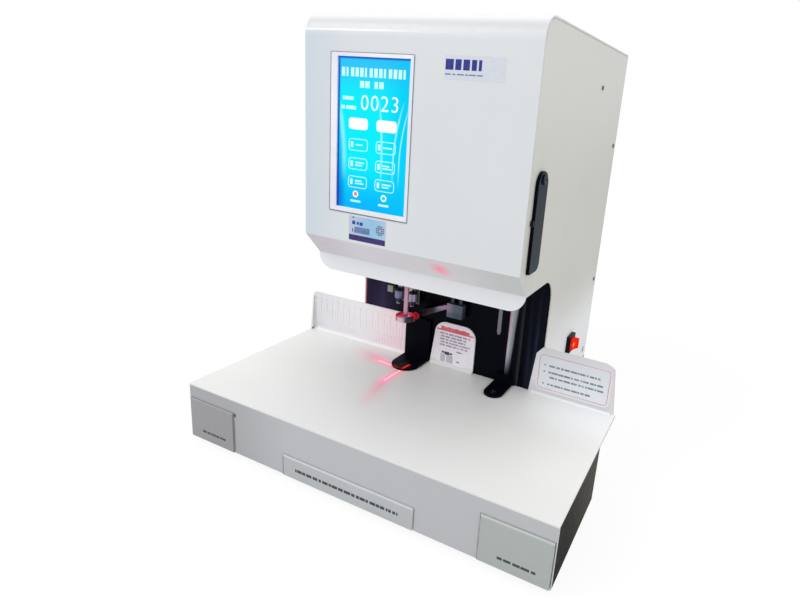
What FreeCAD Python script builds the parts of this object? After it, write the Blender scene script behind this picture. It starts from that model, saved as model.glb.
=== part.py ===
import FreeCAD, Part
import math
import os
import re

import Sketcher

# Desk machine that drills a paper stack and rivets it with a plastic tube.
# Millimetres, +X to the operator's right, +Y to the back, +Z up.
# Heights named level count from the underside of the base, depths named inset
# from the front face of the base.

CASING = {
    "table_width": 450,
    "body_depth": 443,
    "tower_height": 485,
    "table_level": 67.6,
    "table_gauge": 2,
    "base_depth": 143,
    "foot_height": 8,
    "foot_radius": 12,
    "foot_margin": 27,
    "foot_inset": 24,
    "foot_back_inset": 122,
    "foot_rear_margin": 25.5,
    "foot_rear_gap": 25,
    "trim_proud": 1.5,
    "sheet_gauge": 1.5,
    "casing_gap": 0.3,
    "running_gap": 0.05,
    "sliding_gap": 0.5,
    "overrun": 2,
    "tower_width": 267,
    "tower_shift": 2.5,
    "tower_front": 96.3,
    "cover_wall": 2.2,
    "cover_round": 24,
    "cover_top_run": 40,
    "bevel_high": 246.2,
    "bevel_low": 219.8,
    "lip_set_back": 24.6,
    "lip_low": 200.4,
    "lip_corner": 19,
    "panel_low": 218,
    "throat_round": 30,
}

FENCE = {
    "fence_inset": 214.5,
    "fence_rise": 61.4,
    "bend_round": 4,
    "left_wing_inner": 65.2,
    "wing_corner": 12,
    "wing_drop": 2.2,
    "wing_slope": 2.3,
    "wing_return_reach": 7,
    "wing_return_top_reach": 1.5,
    "wing_outer_corner": 6,
    "middle_left": 25,
    "middle_right": 38.6,
    "middle_lean": 5,
    "middle_corner": 16,
    "right_wing_inner": 116,
    "right_wing_lean": 5.5,
    "right_wing_flat_margin": 18.7,
    "right_wing_knee_margin": 12,
    "right_wing_knee_drop": 2.4,
    "right_wing_shoulder_margin": 8,
    "right_wing_shoulder_drop": 5.6,
    "right_wing_margin": 2,
    "lean_inset": 7.5,
    "lean_drop": 9,
}

THROAT = {
    "liner_gap": 1.2,
    "liner_gauge": 2,
    "liner_foot_level": 50,
    "column_sleeve_radius": 14,
    "column_sleeve_wall": 1.5,
    "column_back": 10.3,
    "head_floor_rise": 2,
    "head_floor_gauge": 2,
    "drill_x": -46,
    "rivet_x": 83,
    "tool_reach": 34.5,
    "tongue_gauge": 3,
    "drill_tongue_radius": 18.8,
    "drill_tongue_tip": 168.5,
    "drill_tongue_rise": 58,
    "rivet_tongue_radius": 12,
    "rivet_tongue_tip": 169.7,
    "rivet_tongue_rise": 12,
    "pad_radius": 9,
    "pad_bore_gap": 0.3,
    "die_radius": 4.5,
    "die_proud": 1,
    "die_cup_radius": 1.6,
    "die_cup_depth": 1.5,
    "heater_radius": 11,
    "heater_top_level": 62,
    "heater_foot_level": 29,
}

DRAWERS = {
    "scrap_left": 82.2,
    "scrap_right": 83,
    "scrap_front_height": 25.6,
    "scrap_tray_depth": 204,
    "side_front_height": 50.5,
    "side_front_margin": 1.5,
    "left_front_width": 68.2,
    "right_front_width": 71,
    "side_tray_depth": 132,
    "tray_wall": 1.5,
    "tray_margin": 5,
    "tray_top_drop": 3,
    "rail_gauge": 1.2,
    "rail_height": 8,
    "notch_width": 3,
    "notch_height": 5,
}

FRAME = {
    "frame_gauge": 8,
    "frame_side_gap": 17.5,
    "frame_front_inset": 260,
    "frame_back_inset": 318,
    "frame_top_drop": 17,
    "arm_inset": 152,
    "arm_low_level": 5,
    "arm_high_level": 48,
    "bed_front_inset": 158,
    "bed_back_inset": 206,
    "bed_low_level": 32,
    "bed_high_level": 58,
    "bed_flange_gauge": 10,
    "head_plate_gauge": 10,
    "head_plate_low": 224,
}

DRILL = {
    "shaft_back": 36,
    "shaft_spread": 34,
    "shaft_radius": 6,
    "block_height": 12,
    "block_rise": 1,
    "block_half_width": 46,
    "block_front": 10,
    "upper_block_drop": 65,
    "stop_gap": 2,
    "carriage_spare": 9,
    "quill_half_width": 23,
    "slab_front": 9,
    "slab_back": 15,
    "foot_pad_front": 16,
    "quill_bore_radius": 16,
    "bearing_bore_radius": 8,
    "bearing_height": 9,
    "bearing_low": 6,
    "motor_offset": 56,
    "motor_radius": 26,
    "motor_rise": 10,
    "motor_plate_gauge": 6,
    "motor_shaft_radius": 3,
    "motor_shaft_length": 20,
    "motor_neck_radius": 9,
    "spindle_bore_radius": 2.2,
    "nose_radius": 11,
    "nose_low_level": 236,
    "nose_high_level": 262,
    "bit_radius": 3,
    "bit_bore_radius": 2,
    "bit_tip_level": 133,
    "bit_top_level": 258,
    "bit_cone": 4,
    "pulley_lift": 5,
    "pulley_height": 12,
    "pulley_gap": 16,
    "pulley_flange_gauge": 1.5,
    "spindle_pulley_radius": 17,
    "motor_pulley_radius": 10,
    "pulley_flange_proud": 2,
    "belt_gauge": 1.6,
    "screw_radius": 5,
    "feed_motor_side": 42,
    "feed_motor_height": 38,
}

FOOT = {
    "ring_radius": 12.7,
    "ring_bore_radius": 7.7,
    "ring_level": 134,
    "ring_gauge": 6,
    "foot_block_left": 0,
    "foot_block_right": 22,
    "foot_block_low": 141.5,
    "foot_block_high": 160,
    "foot_block_front": 24,
    "foot_block_back": 33.5,
    "foot_rod_radius": 3,
    "foot_rod_back": 30,
    "foot_rod_inset": 5.5,
    "foot_rod_drop": 85,
    "arm_width": 8,
    "arm_rise": 17.5,
    "laser_radius": 6,
    "laser_length": 16,
    "laser_barrel_radius": 4,
    "laser_barrel_length": 6,
    "laser_level": 145,
    "laser_back": 26,
    "laser_left": 73,
    "laser_right": 52,
    "laser_bracket_gauge": 2,
}

RIVET = {
    "rivet_travel_share": 0.4,
    "column_x": 90,
    "column_radius": 10,
    "rivet_screw_x": 62,
    "rivet_screw_radius": 6,
    "rivet_carriage_left": 50,
    "rivet_carriage_right": 112,
    "rivet_carriage_height": 48,
    "rivet_carriage_front": 16,
    "rivet_arm_gauge": 16,
    "rivet_arm_half_width": 16,
    "upper_heater_radius": 12,
    "upper_heater_length": 42,
    "rivet_pin_radius": 2.5,
    "rivet_pin_tip": 146,
    "rivet_pin_cone": 4,
    "rivet_motor_side": 56,
    "rivet_motor_height": 46,
}

SIDE = {
    "door_front": 111.5,
    "door_back": 140,
    "door_low": 245.3,
    "door_high": 347.6,
    "door_gauge": 3.5,
    "door_corner": 9,
    "door_small_corner": 2,
    "pivot_rise": 6,
    "pivot_screw_radius": 3,
    "pivot_head_radius": 5,
    "pivot_head_height": 2,
    "window_margin": 6,
    "window_corner": 4,
    "window_top_level": 316,
    "holder_depth": 18,
    "holder_wall": 1.5,
    "switch_rear_gap": 103,
    "switch_length": 25,
    "switch_low": 84.5,
    "switch_high": 108.5,
    "switch_proud": 5.5,
    "switch_flange": 2,
    "switch_body_depth": 18,
    "switch_wall": 1.5,
    "rocker_proud": 8,
    "rocker_mid_proud": 3.5,
    "rocker_near_proud": 2,
    "rocker_taper": 1,
    "rocker_depth": 12,
    "rocker_pin_radius": 1.5,
    "screw_head_radius": 3,
    "screw_head_height": 1.2,
    "screw_shank_radius": 1.5,
    "screw_length": 8,
    "screw_top_gap": 121.5,
    "screw_top_drop": 50,
    "screw_mid_gap": 14.6,
    "screw_mid_drop": 122.2,
    "screw_low_gap": 13.5,
    "screw_low_level": 165,
    "rear_screw_margin": 15.5,
    "rear_screw_low_level": 20,
    "rear_screw_drop": 23,
}

ELECTRICS = {
    "screen_left": 100.2,
    "screen_width": 100.2,
    "screen_low": 280,
    "screen_top_drop": 40.2,
    "screen_left_border": 8.2,
    "screen_right_border": 3.6,
    "screen_top_border": 3.6,
    "screen_low_border": 5,
    "bezel_proud": 1,
    "bezel_lip": 2.5,
    "bezel_depth": 9,
    "glass_recess": 1.6,
    "display_gauge": 8,
    "board_gauge": 1.6,
    "board_back": 14,
    "board_margin": 6,
    "standoff_radius": 3,
    "standoff_inset": 10,
    "chip_height": 6,
    "chip_side": 14,
    "supply_left": 112,
    "supply_width": 98,
    "supply_front": 326,
    "supply_rear_gap": 5.5,
    "supply_height": 38,
    "inlet_x": -92,
    "inlet_level": 76,
    "inlet_half_width": 24,
    "inlet_half_height": 14,
    "inlet_depth": 26,
    "inlet_recess_half_width": 12,
    "inlet_recess_half_height": 9,
    "inlet_recess_depth": 18,
    "inlet_body_margin": 3,
    "inlet_pin_half_width": 2,
    "inlet_pin_half_height": 1,
    "inlet_pin_length": 12,
    "inlet_pin_spread": 7,
    "fan_x": 62,
    "fan_drop": 93,
    "fan_side": 80,
    "fan_depth": 25,
    "fan_bore_radius": 37,
    "fan_hub_radius": 17,
    "fan_blade_gap": 1.5,
    "fan_blade_gauge": 1.5,
    "fan_blade_depth": 16,
    "fan_blade_count": 7,
    "fan_web_gauge": 3,
    "fan_axle_radius": 2,
    "fan_slot_half_height": 2,
    "fan_slot_pitch": 8,
    "vent_half_width": 2,
    "vent_height": 42,
    "vent_pitch": 9,
    "vent_count": 9,
    "vent_x": -96,
    "vent_drop": 113,
}

DERIVED = {
    "front_y": "-body_depth / 2",
    "rear_y": "body_depth / 2",
    "base_z": "foot_height",
    "table_z": "base_z + table_level",
    "top_z": "base_z + tower_height",
    "table_half": "table_width / 2",
    "right_wing_x": "table_half - right_wing_margin",
    "side_front_x": "table_half - side_front_margin",
    "left_front_x": "left_front_width - side_front_x",
    "right_front_x": "side_front_x - right_front_width",
    "tower_left": "-tower_shift - tower_width / 2",
    "tower_right": "-tower_shift + tower_width / 2",
    "inner_left": "tower_left + sheet_gauge",
    "inner_right": "tower_right - sheet_gauge",
    "face_y": "front_y + tower_front",
    "lip_y": "face_y + lip_set_back",
    "lip_z": "base_z + lip_low",
    "bevel_z": "base_z + bevel_high",
    "bevel_foot_z": "base_z + bevel_low",
    "bevel_miter": "cover_wall * tan(atan(lip_set_back / (bevel_high - bevel_low)) / 2)",
    "panel_z": "base_z + panel_low",
    "panel_top_z": "top_z - cover_wall - casing_gap",
    "panel_back_y": "rear_y - sheet_gauge - casing_gap",
    "fence_y": "front_y + fence_inset",
    "fence_back_y": "fence_y + table_gauge",
    "fence_z": "table_z + fence_rise",
    "wing_z": "fence_z - wing_drop",
    "wing_end_z": "wing_z - wing_slope",
    "panel_edge_y": "fence_back_y + casing_gap",
    "liner_y": "fence_back_y + liner_gap",
    "liner_back_y": "liner_y + liner_gauge",
    "liner_top_z": "floor_top_z",
    "column_y": "liner_y + column_back",
    "tool_y": "fence_y - tool_reach",
    "floor_z": "panel_z + head_floor_rise",
    "floor_top_z": "floor_z + head_floor_gauge",
    "tongue_z": "table_z + tongue_gauge",
    "bed_z": "base_z + bed_high_level",
    "frame_half": "tower_width / 2 - tower_shift - sheet_gauge - frame_gauge - frame_side_gap",
    "frame_top_z": "top_z - frame_top_drop",
    "frame_y": "front_y + frame_front_inset",
    "plate_y": "frame_y - head_plate_gauge",
    "shaft_y": "tool_y + shaft_back",
    "block_low_z": "floor_top_z + block_rise",
    "block_high_z": "block_low_z + block_height",
    "upper_block_z": "top_z - upper_block_drop",
    "feed_room": "upper_block_z - block_high_z",
    "carriage_height": "(feed_room - carriage_spare) / 2",
    "pulley_room": "pulley_lift + pulley_height + pulley_gap",
    "drill_travel": "feed_room - stop_gap - carriage_height - pulley_room",
    "rivet_travel": "feed_room * rivet_travel_share",
    "upper_block_top_z": "upper_block_z + block_height",
    "carriage_z": "block_high_z + drill_travel + stop_gap",
    "carriage_top_z": "carriage_z + carriage_height",
    "motor_x": "drill_x - motor_offset",
    "motor_length": "carriage_height - motor_plate_gauge - motor_rise",
    "pulley_z": "carriage_top_z + pulley_lift",
    "pulley_top_z": "pulley_z + pulley_height",
    "ring_z": "base_z + ring_level",
    "foot_block_z": "base_z + foot_block_low",
    "foot_block_top_z": "base_z + foot_block_high",
    "foot_rod_y": "tool_y + foot_rod_back",
    "foot_rod_left_x": "foot_block_left + foot_rod_inset",
    "foot_rod_right_x": "foot_block_right - foot_rod_inset",
    "rivet_carriage_z": "block_high_z + rivet_travel + stop_gap",
    "upper_heater_z": "rivet_carriage_z - upper_heater_length",
    "door_y": "front_y + door_front",
    "door_back_y": "front_y + door_back",
    "door_half": "(door_back - door_front) / 2",
    "door_pivot_y": "door_y + door_half",
    "door_round_z": "base_z + door_high - door_half",
    "door_pivot_z": "door_round_z + pivot_rise",
    "window_y": "door_y + window_margin",
    "window_back_y": "door_back_y - window_margin",
    "window_z": "base_z + door_low + window_margin",
    "window_top_z": "base_z + window_top_level",
    "switch_back_y": "rear_y - switch_rear_gap",
    "switch_y": "switch_back_y - switch_length",
    "switch_z": "base_z + switch_low",
    "switch_top_z": "base_z + switch_high",
    "switch_mid_y": "(switch_y + switch_back_y) / 2",
    "rocker_pivot_x": "tower_right + switch_proud - rocker_depth / 2",
    "screen_x": "-screen_left",
    "screen_right_x": "screen_x + screen_width",
    "screen_z": "base_z + screen_low",
    "screen_top_z": "top_z - screen_top_drop",
    "view_x": "screen_x + screen_left_border",
    "view_right_x": "screen_right_x - screen_right_border",
    "view_z": "screen_z + screen_low_border",
    "view_top_z": "screen_top_z - screen_top_border",
    "display_y": "face_y + glass_recess - bezel_proud",
    "display_back_y": "display_y + display_gauge",
    "board_y": "display_back_y + board_back",
    "inlet_z": "base_z + inlet_level",
    "fan_z": "top_z - fan_drop",
    "fan_back_y": "rear_y - sheet_gauge",
    "fan_y": "fan_back_y - fan_depth",
    "tray_z": "base_z + table_gauge + sliding_gap",
}

SIDE_SCREWS = [
    ("rear_y - screw_top_gap", "top_z - screw_top_drop"),
    ("rear_y - screw_mid_gap", "top_z - screw_mid_drop"),
    ("rear_y - screw_low_gap", "base_z + screw_low_level"),
]
REAR_SCREWS = [
    (side + "(tower_width / 2 - rear_screw_margin)", level)
    for side in ("-", "") for level in ("base_z + rear_screw_low_level", "top_z - rear_screw_drop")
]
CHIP_SHARES = (0.14, 0.38, 0.62)
DRILL_SHAFTS = [
    ("drill_x - shaft_spread", "shaft_y", "shaft_radius"),
    ("drill_x + shaft_spread", "shaft_y", "shaft_radius"),
]
DRILL_BORES = DRILL_SHAFTS + [("drill_x", "shaft_y", "screw_radius")]
RIVET_BORES = [
    ("column_x", "column_y", "column_radius"),
    ("rivet_screw_x", "shaft_y", "rivet_screw_radius"),
]
FOOT_RODS = [
    ("foot_rod_left_x", "foot_rod_y", "foot_rod_radius"),
    ("foot_rod_right_x", "foot_rod_y", "foot_rod_radius"),
]

DRIVING = (CASING, FENCE, THROAT, DRAWERS, FRAME, DRILL, FOOT, RIVET, SIDE, ELECTRICS)
NAMES = {name for table in DRIVING + (DERIVED,) for name in table}
WORD = re.compile(r"[a-z]+(?:_[a-z]+)*")
PLANE_AXIS = {"XY_Plane": "z", "XZ_Plane": "y", "YZ_Plane": "x"}
X_AXIS = FreeCAD.Vector(1, 0, 0)
Y_AXIS = FreeCAD.Vector(0, 1, 0)
Z_AXIS = FreeCAD.Vector(0, 0, 1)

doc = FreeCAD.newDocument("RivetingMachine")
sheet = doc.addObject("Spreadsheet::Sheet", "Sizes")
nodes = []


def fill_sheet():
    """Write every driving size, then every derived one, with its name as alias."""
    rows = [(name, str(value)) for table in DRIVING for name, value in table.items()]
    rows += [(name, "=" + formula) for name, formula in DERIVED.items()]
    for number, (name, content) in enumerate(rows, start=1):
        sheet.set("A%d" % number, name)
        sheet.set("B%d" % number, content)
        sheet.setAlias("B%d" % number, name)
    doc.recompute()


def value(formula):
    """Number that a formula of sheet names gives."""
    sheet.set("D1", "=" + formula)
    sheet.recompute()
    result = sheet.get("D1")
    return float(getattr(result, "Value", result))


def bind(item, prop, formula):
    """Tie a property to a formula of sheet names."""
    def qualified(found):
        return "Sizes." + found.group(0) if found.group(0) in NAMES else found.group(0)
    item.setExpression(prop, WORD.sub(qualified, formula))


def place(item, **axes):
    for axis, formula in axes.items():
        bind(item, ".Placement.Base." + axis, formula)


def block(x, y, z):
    """Box between (low, high) formulas on each axis."""
    solid = doc.addObject("Part::Box", "Block")
    for side, axis, (low, high) in (("Length", "x", x), ("Width", "y", y), ("Height", "z", z)):
        bind(solid, side, "(%s) - (%s)" % (high, low))
        place(solid, **{axis: low})
    return solid


def turned(solid, axis, centre, low):
    """Lay a round solid, made along z, on the named axis through centre."""
    if axis == "x":
        solid.Placement.Rotation = FreeCAD.Rotation(Y_AXIS, 90)
        place(solid, x=low, y=centre[0], z=centre[1])
    elif axis == "y":
        solid.Placement.Rotation = FreeCAD.Rotation(X_AXIS, -90)
        place(solid, x=centre[0], y=low, z=centre[1])
    else:
        place(solid, x=centre[0], y=centre[1], z=low)
    return solid


def rod(axis, centre, span, radius):
    """Cylinder; centre is the other two coordinates in X, Y, Z order."""
    solid = doc.addObject("Part::Cylinder", "Rod")
    bind(solid, "Radius", radius)
    bind(solid, "Height", "(%s) - (%s)" % (span[1], span[0]))
    return turned(solid, axis, centre, span[0])


def cone(axis, centre, span, low_radius, high_radius):
    solid = doc.addObject("Part::Cone", "Cone")
    bind(solid, "Radius1", low_radius)
    bind(solid, "Radius2", high_radius)
    bind(solid, "Height", "(%s) - (%s)" % (span[1], span[0]))
    return turned(solid, axis, centre, span[0])


def ring(axis, centre, span, radius, bore):
    longer = ("(%s) - overrun" % span[0], "(%s) + overrun" % span[1])
    return cut(rod(axis, centre, span, radius), rod(axis, centre, longer, bore))


def fuse(*solids):
    if len(solids) == 1:
        return solids[0]
    joined = doc.addObject("Part::MultiFuse", "Fuse")
    joined.Shapes = list(solids)
    joined.Refine = True
    return joined


def cut(base, *tools):
    result = doc.addObject("Part::Cut", "Cut")
    result.Base = base
    result.Tool = fuse(*tools)
    result.Refine = True
    return result


def group(*solids):
    result = doc.addObject("Part::Compound", "Group")
    result.Links = list(solids)
    return result


def node(label, item):
    """Name a finished sub-part."""
    item.Label = label
    nodes.append(item)
    return item


def arc_between(start, end, radius, turn):
    """Arc of the given radius; turn is 1 for counter-clockwise, -1 for clockwise."""
    chord = end - start
    middle = (start + end) / 2
    sideways = FreeCAD.Vector(-chord.y, chord.x, 0).normalize()
    rise = math.sqrt(max(radius * radius - chord.Length * chord.Length / 4, 0))
    centre = middle + sideways * rise * turn
    first, last = (start, end) if turn > 0 else (end, start)
    angles = [math.atan2(point.y - centre.y, point.x - centre.x) for point in (first, last)]
    return Part.ArcOfCircle(Part.Circle(centre, Z_AXIS, radius), angles[0], angles[1])


def draw(sketch, outline):
    """Closed outline whose corners are (across, up) or (across, up, radius, turn).

    A corner with a radius is reached from the one before it by an arc.
    """
    points = [FreeCAD.Vector(value(corner[0]), value(corner[1]), 0) for corner in outline]
    count = len(outline)
    ends = []
    rules = []
    ties = []
    for index, corner in enumerate(outline):
        start, end = points[index - 1], points[index]
        if len(corner) == 4:
            edge = sketch.addGeometry(arc_between(start, end, value(corner[2]), corner[3]))
            ends.append((edge, 1, 2) if corner[3] > 0 else (edge, 2, 1))
            ties.append((len(rules), corner[2]))
            rules.append(Sketcher.Constraint("Radius", edge, value(corner[2])))
        else:
            edge = sketch.addGeometry(Part.LineSegment(start, end))
            ends.append((edge, 1, 2))
    for index, corner in enumerate(outline):
        edge, _, last = ends[index]
        following, first, _ = ends[(index + 1) % count]
        rules.append(Sketcher.Constraint("Coincident", edge, last, following, first))
        for kind, number, formula in (("DistanceX", points[index].x, corner[0]),
                                      ("DistanceY", points[index].y, corner[1])):
            ties.append((len(rules), formula))
            rules.append(Sketcher.Constraint(kind, -1, 1, edge, last, number))
    sketch.addConstraint(rules)
    for number, formula in ties:
        bind(sketch, "Constraints[%d]" % number, formula)


def plate(plane, outline, span):
    """Body padded from an outline on one of its own planes, between two formulas."""
    body = doc.addObject("PartDesign::Body", "Plate")
    sketch = body.newObject("Sketcher::SketchObject", "Outline")
    support = [item for item in body.Origin.OriginFeatures if item.Role == plane][0]
    sketch.AttachmentSupport = (support, [""])
    sketch.MapMode = "FlatFace"
    draw(sketch, outline)
    pad = body.newObject("PartDesign::Pad", "Pad")
    pad.Profile = sketch
    pad.Reversed = plane == "XZ_Plane"
    bind(pad, "Length", "(%s) - (%s)" % (span[1], span[0]))
    place(body, **{PLANE_AXIS[plane]: span[0]})
    return body


def rounded_outline(across, up, radius):
    """Rectangle with four equal round corners, counter-clockwise."""
    (left, right), (low, high) = across, up
    return [
        ("(%s) - %s" % (right, radius), low),
        (right, "(%s) + %s" % (low, radius), radius, 1),
        (right, "(%s) - %s" % (high, radius)),
        ("(%s) - %s" % (right, radius), high, radius, 1),
        ("(%s) + %s" % (left, radius), high),
        (left, "(%s) - %s" % (high, radius), radius, 1),
        (left, "(%s) + %s" % (low, radius)),
        ("(%s) + %s" % (left, radius), low, radius, 1),
    ]


def make_table():
    """Table sheet: front apron with drawer openings, top, and the three raised fences."""
    top = block(("-table_half", "table_half"), ("front_y", "fence_back_y"),
                ("table_z - table_gauge", "table_z"))
    apron = block(("-table_half", "table_half"), ("front_y", "front_y + table_gauge"), ("base_z", "table_z"))
    openings = [
        block((left, right), ("front_y - overrun", "front_y + table_gauge + overrun"),
              ("base_z - overrun", "base_z + %s + sliding_gap" % height))
        for left, right, height in (
            ("-scrap_left - sliding_gap", "scrap_right + sliding_gap", "scrap_front_height"),
            ("-side_front_x - sliding_gap", "left_front_x + sliding_gap", "side_front_height"),
            ("right_front_x - sliding_gap", "side_front_x + sliding_gap", "side_front_height"),
        )
    ]
    notch = block(("left_front_x", "left_front_x + notch_width"),
                  ("front_y - overrun", "front_y + table_gauge + overrun"),
                  ("base_z + side_front_height - notch_height", "base_z + side_front_height"))
    span = ("fence_y", "fence_back_y")
    low = "table_z - table_gauge"
    left_wing = plate("XZ_Plane", [
        ("-table_half", low),
        ("-left_wing_inner", low),
        ("-left_wing_inner", "wing_z - wing_corner"),
        ("-left_wing_inner - wing_corner", "wing_z", "wing_corner", 1),
        ("-table_half + wing_outer_corner", "wing_end_z"),
        ("-table_half", "wing_end_z - wing_outer_corner", "wing_outer_corner", 1),
    ], span)
    wing_return = plate("YZ_Plane", [
        ("fence_y - wing_return_reach", low),
        ("fence_back_y", low),
        ("fence_back_y", "wing_end_z - wing_outer_corner"),
        ("fence_y - wing_return_top_reach", "wing_end_z - wing_outer_corner"),
    ], ("-table_half", "-table_half + table_gauge"))
    middle = plate("XZ_Plane", [
        ("-middle_left", low),
        ("middle_right", low),
        ("middle_right", "fence_z - middle_corner"),
        ("middle_right - middle_corner", "fence_z", "middle_corner", 1),
        ("-middle_left + middle_lean + middle_corner", "fence_z"),
        ("-middle_left + middle_lean", "fence_z - middle_corner", "middle_corner", 1),
        ("-middle_left", "table_z + bend_round"),
    ], span)
    right_wing = plate("XZ_Plane", [
        ("right_wing_inner", low),
        ("right_wing_x", low),
        ("table_half - right_wing_shoulder_margin", "fence_z - right_wing_shoulder_drop"),
        ("table_half - right_wing_knee_margin", "fence_z - right_wing_knee_drop"),
        ("table_half - right_wing_flat_margin", "fence_z"),
        ("right_wing_inner + right_wing_lean + lean_inset", "fence_z"),
        ("right_wing_inner + right_wing_lean", "fence_z - lean_drop"),
    ], span)
    bends = [
        cut(block((left, right), ("fence_y - bend_round", "fence_y"), ("table_z", "table_z + bend_round")),
            rod("x", ("fence_y - bend_round", "table_z + bend_round"),
                ("%s - overrun" % left, "%s + overrun" % right), "bend_round"))
        for left, right in (("-table_half", "-left_wing_inner"), ("-middle_left", "middle_right"),
                            ("right_wing_inner + lean_inset / 2", "right_wing_x - lean_inset / 2"))
    ]
    holes = [
        rod("z", ("drill_x", "tool_y"), ("table_z - table_gauge - overrun", "table_z + overrun"),
            "pad_radius + pad_bore_gap"),
        rod("z", ("rivet_x", "tool_y"), ("table_z - table_gauge - overrun", "table_z + overrun"),
            "die_radius + pad_bore_gap"),
        rod("z", ("column_x", "column_y"), ("table_z - table_gauge - overrun", "table_z + overrun"),
            "column_sleeve_radius + casing_gap"),
    ]
    sheet_metal = fuse(top, apron, left_wing, wing_return, middle, right_wing, *bends)
    node("table_plate", cut(sheet_metal, notch, *openings, *holes))


def make_base():
    """Side walls, floor, feet and drawer rails of the base."""
    wall_span = ("base_z", "table_z - table_gauge - casing_gap")
    front = "front_y + table_gauge + casing_gap"
    back = "front_y + base_depth"
    for label, outer, inner, tower in (
            ("base_left_wall", "-table_half", "-table_half + sheet_gauge", "tower_left - casing_gap"),
            ("base_right_wall", "table_half", "table_half - sheet_gauge", "tower_right + casing_gap")):
        side = (outer, inner) if outer.startswith("-") else (inner, outer)
        returned = (outer, tower) if outer.startswith("-") else (tower, outer)
        node(label, fuse(block(side, (front, back), wall_span),
                         block(returned, (back + " - sheet_gauge", back), wall_span)))
    left, right = "-table_half + sheet_gauge + casing_gap", "table_half - sheet_gauge - casing_gap"
    step = back + " - sheet_gauge - casing_gap"
    rear = "panel_back_y"
    node("base_floor", plate("XY_Plane", [
        (left, front), (right, front), (right, step), ("inner_right - casing_gap", step),
        ("inner_right - casing_gap", rear), ("inner_left + casing_gap", rear),
        ("inner_left + casing_gap", step), (left, step),
    ], ("base_z", "base_z + table_gauge")))
    spots = [(side + "(table_half - foot_margin)", "front_y + " + depth)
             for side in ("-", "") for depth in ("foot_inset", "foot_back_inset")]
    spots += [(side + "(tower_width / 2 - foot_rear_margin)", "rear_y - foot_rear_gap") for side in ("-", "")]
    node("rubber_feet", group(*[
        fuse(cone("z", spot, ("base_z - foot_height", "base_z"), "foot_radius - trim_proud", "foot_radius"))
        for spot in spots]))
    rails = []
    for left, right, depth in (("-scrap_left", "scrap_right", "scrap_tray_depth"),
                               ("-side_front_x", "left_front_x", "side_tray_depth"),
                               ("right_front_x", "side_front_x", "side_tray_depth")):
        along = ("front_y + table_gauge + sliding_gap", "front_y + %s" % depth)
        low = ("base_z + table_gauge", "base_z + table_gauge + rail_height")
        rails.append(block((left + " + tray_margin - sliding_gap - rail_gauge",
                            left + " + tray_margin - sliding_gap"), along, low))
        rails.append(block((right + " - tray_margin + sliding_gap",
                            right + " - tray_margin + sliding_gap + rail_gauge"), along, low))
    node("drawer_rails", group(*rails))


def make_drawer(label, left, right, height, depth):
    """Drawer: a front plate that stands a little proud, and an open tray behind it."""
    face = block((left, right), ("front_y - trim_proud", "front_y + table_gauge"),
                 ("base_z + casing_gap", "base_z + " + height))
    inner_left, inner_right = left + " + tray_margin", right + " - tray_margin"
    top = "base_z + %s - tray_top_drop" % height
    front = "front_y + table_gauge"
    back = "front_y + " + depth
    tray = cut(block((inner_left, inner_right), (front, back), ("tray_z", top)),
               block((inner_left + " + tray_wall", inner_right + " - tray_wall"),
                     (front + " + tray_wall", back + " - tray_wall"),
                     ("tray_z + tray_wall", top + " + overrun")))
    node(label, fuse(face, tray))


def make_drawers():
    make_drawer("scrap_drawer", "-scrap_left", "scrap_right", "scrap_front_height", "scrap_tray_depth")
    make_drawer("left_drawer", "-side_front_x", "left_front_x", "side_front_height",
                "side_tray_depth")
    make_drawer("right_drawer", "right_front_x", "side_front_x", "side_front_height",
                "side_tray_depth")


def panel_outline():
    """Side panel seen from the right: foot under the table, throat, head and round top front."""
    inset = "cover_wall + casing_gap"
    under = "table_z - table_gauge - casing_gap"
    return [
        ("front_y + base_depth + casing_gap", "base_z"),
        ("panel_back_y", "base_z"),
        ("panel_back_y", "panel_top_z"),
        ("face_y + cover_round", "panel_top_z"),
        ("face_y + " + inset, "top_z - cover_round", "cover_round - cover_wall - casing_gap", 1),
        ("face_y + " + inset, "bevel_z + bevel_miter"),
        ("lip_y + " + inset, "bevel_foot_z + bevel_miter"),
        ("lip_y + " + inset, "panel_z"),
        ("panel_edge_y - throat_round", "panel_z"),
        ("panel_edge_y", "panel_z - throat_round", "throat_round", -1),
        ("panel_edge_y", under),
        ("front_y + base_depth + casing_gap", under),
    ]


def side_screw_holes(span):
    return [rod("x", centre, span, "screw_shank_radius + running_gap") for centre in SIDE_SCREWS]


def make_side_panels():
    left = plate("YZ_Plane", panel_outline(), ("tower_left", "inner_left"))
    holes = side_screw_holes(("tower_left - overrun", "inner_left + overrun"))
    node("left_side_panel", cut(left, *holes))
    right = plate("YZ_Plane", panel_outline(), ("inner_right", "tower_right"))
    through = ("inner_right - overrun", "tower_right + overrun")
    window = plate("YZ_Plane", rounded_outline(("window_y", "window_back_y"), ("window_z", "window_top_z"),
                                               "window_corner"), through)
    flange = "(switch_flange - casing_gap)"
    switch_hole = block(through, ("switch_y + " + flange, "switch_back_y - " + flange),
                        ("switch_z + " + flange, "switch_top_z - " + flange))
    pivot = rod("x", ("door_pivot_y", "door_pivot_z"), through, "pivot_screw_radius + running_gap")
    node("right_side_panel", cut(right, window, switch_hole, pivot, *side_screw_holes(through)))


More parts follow.
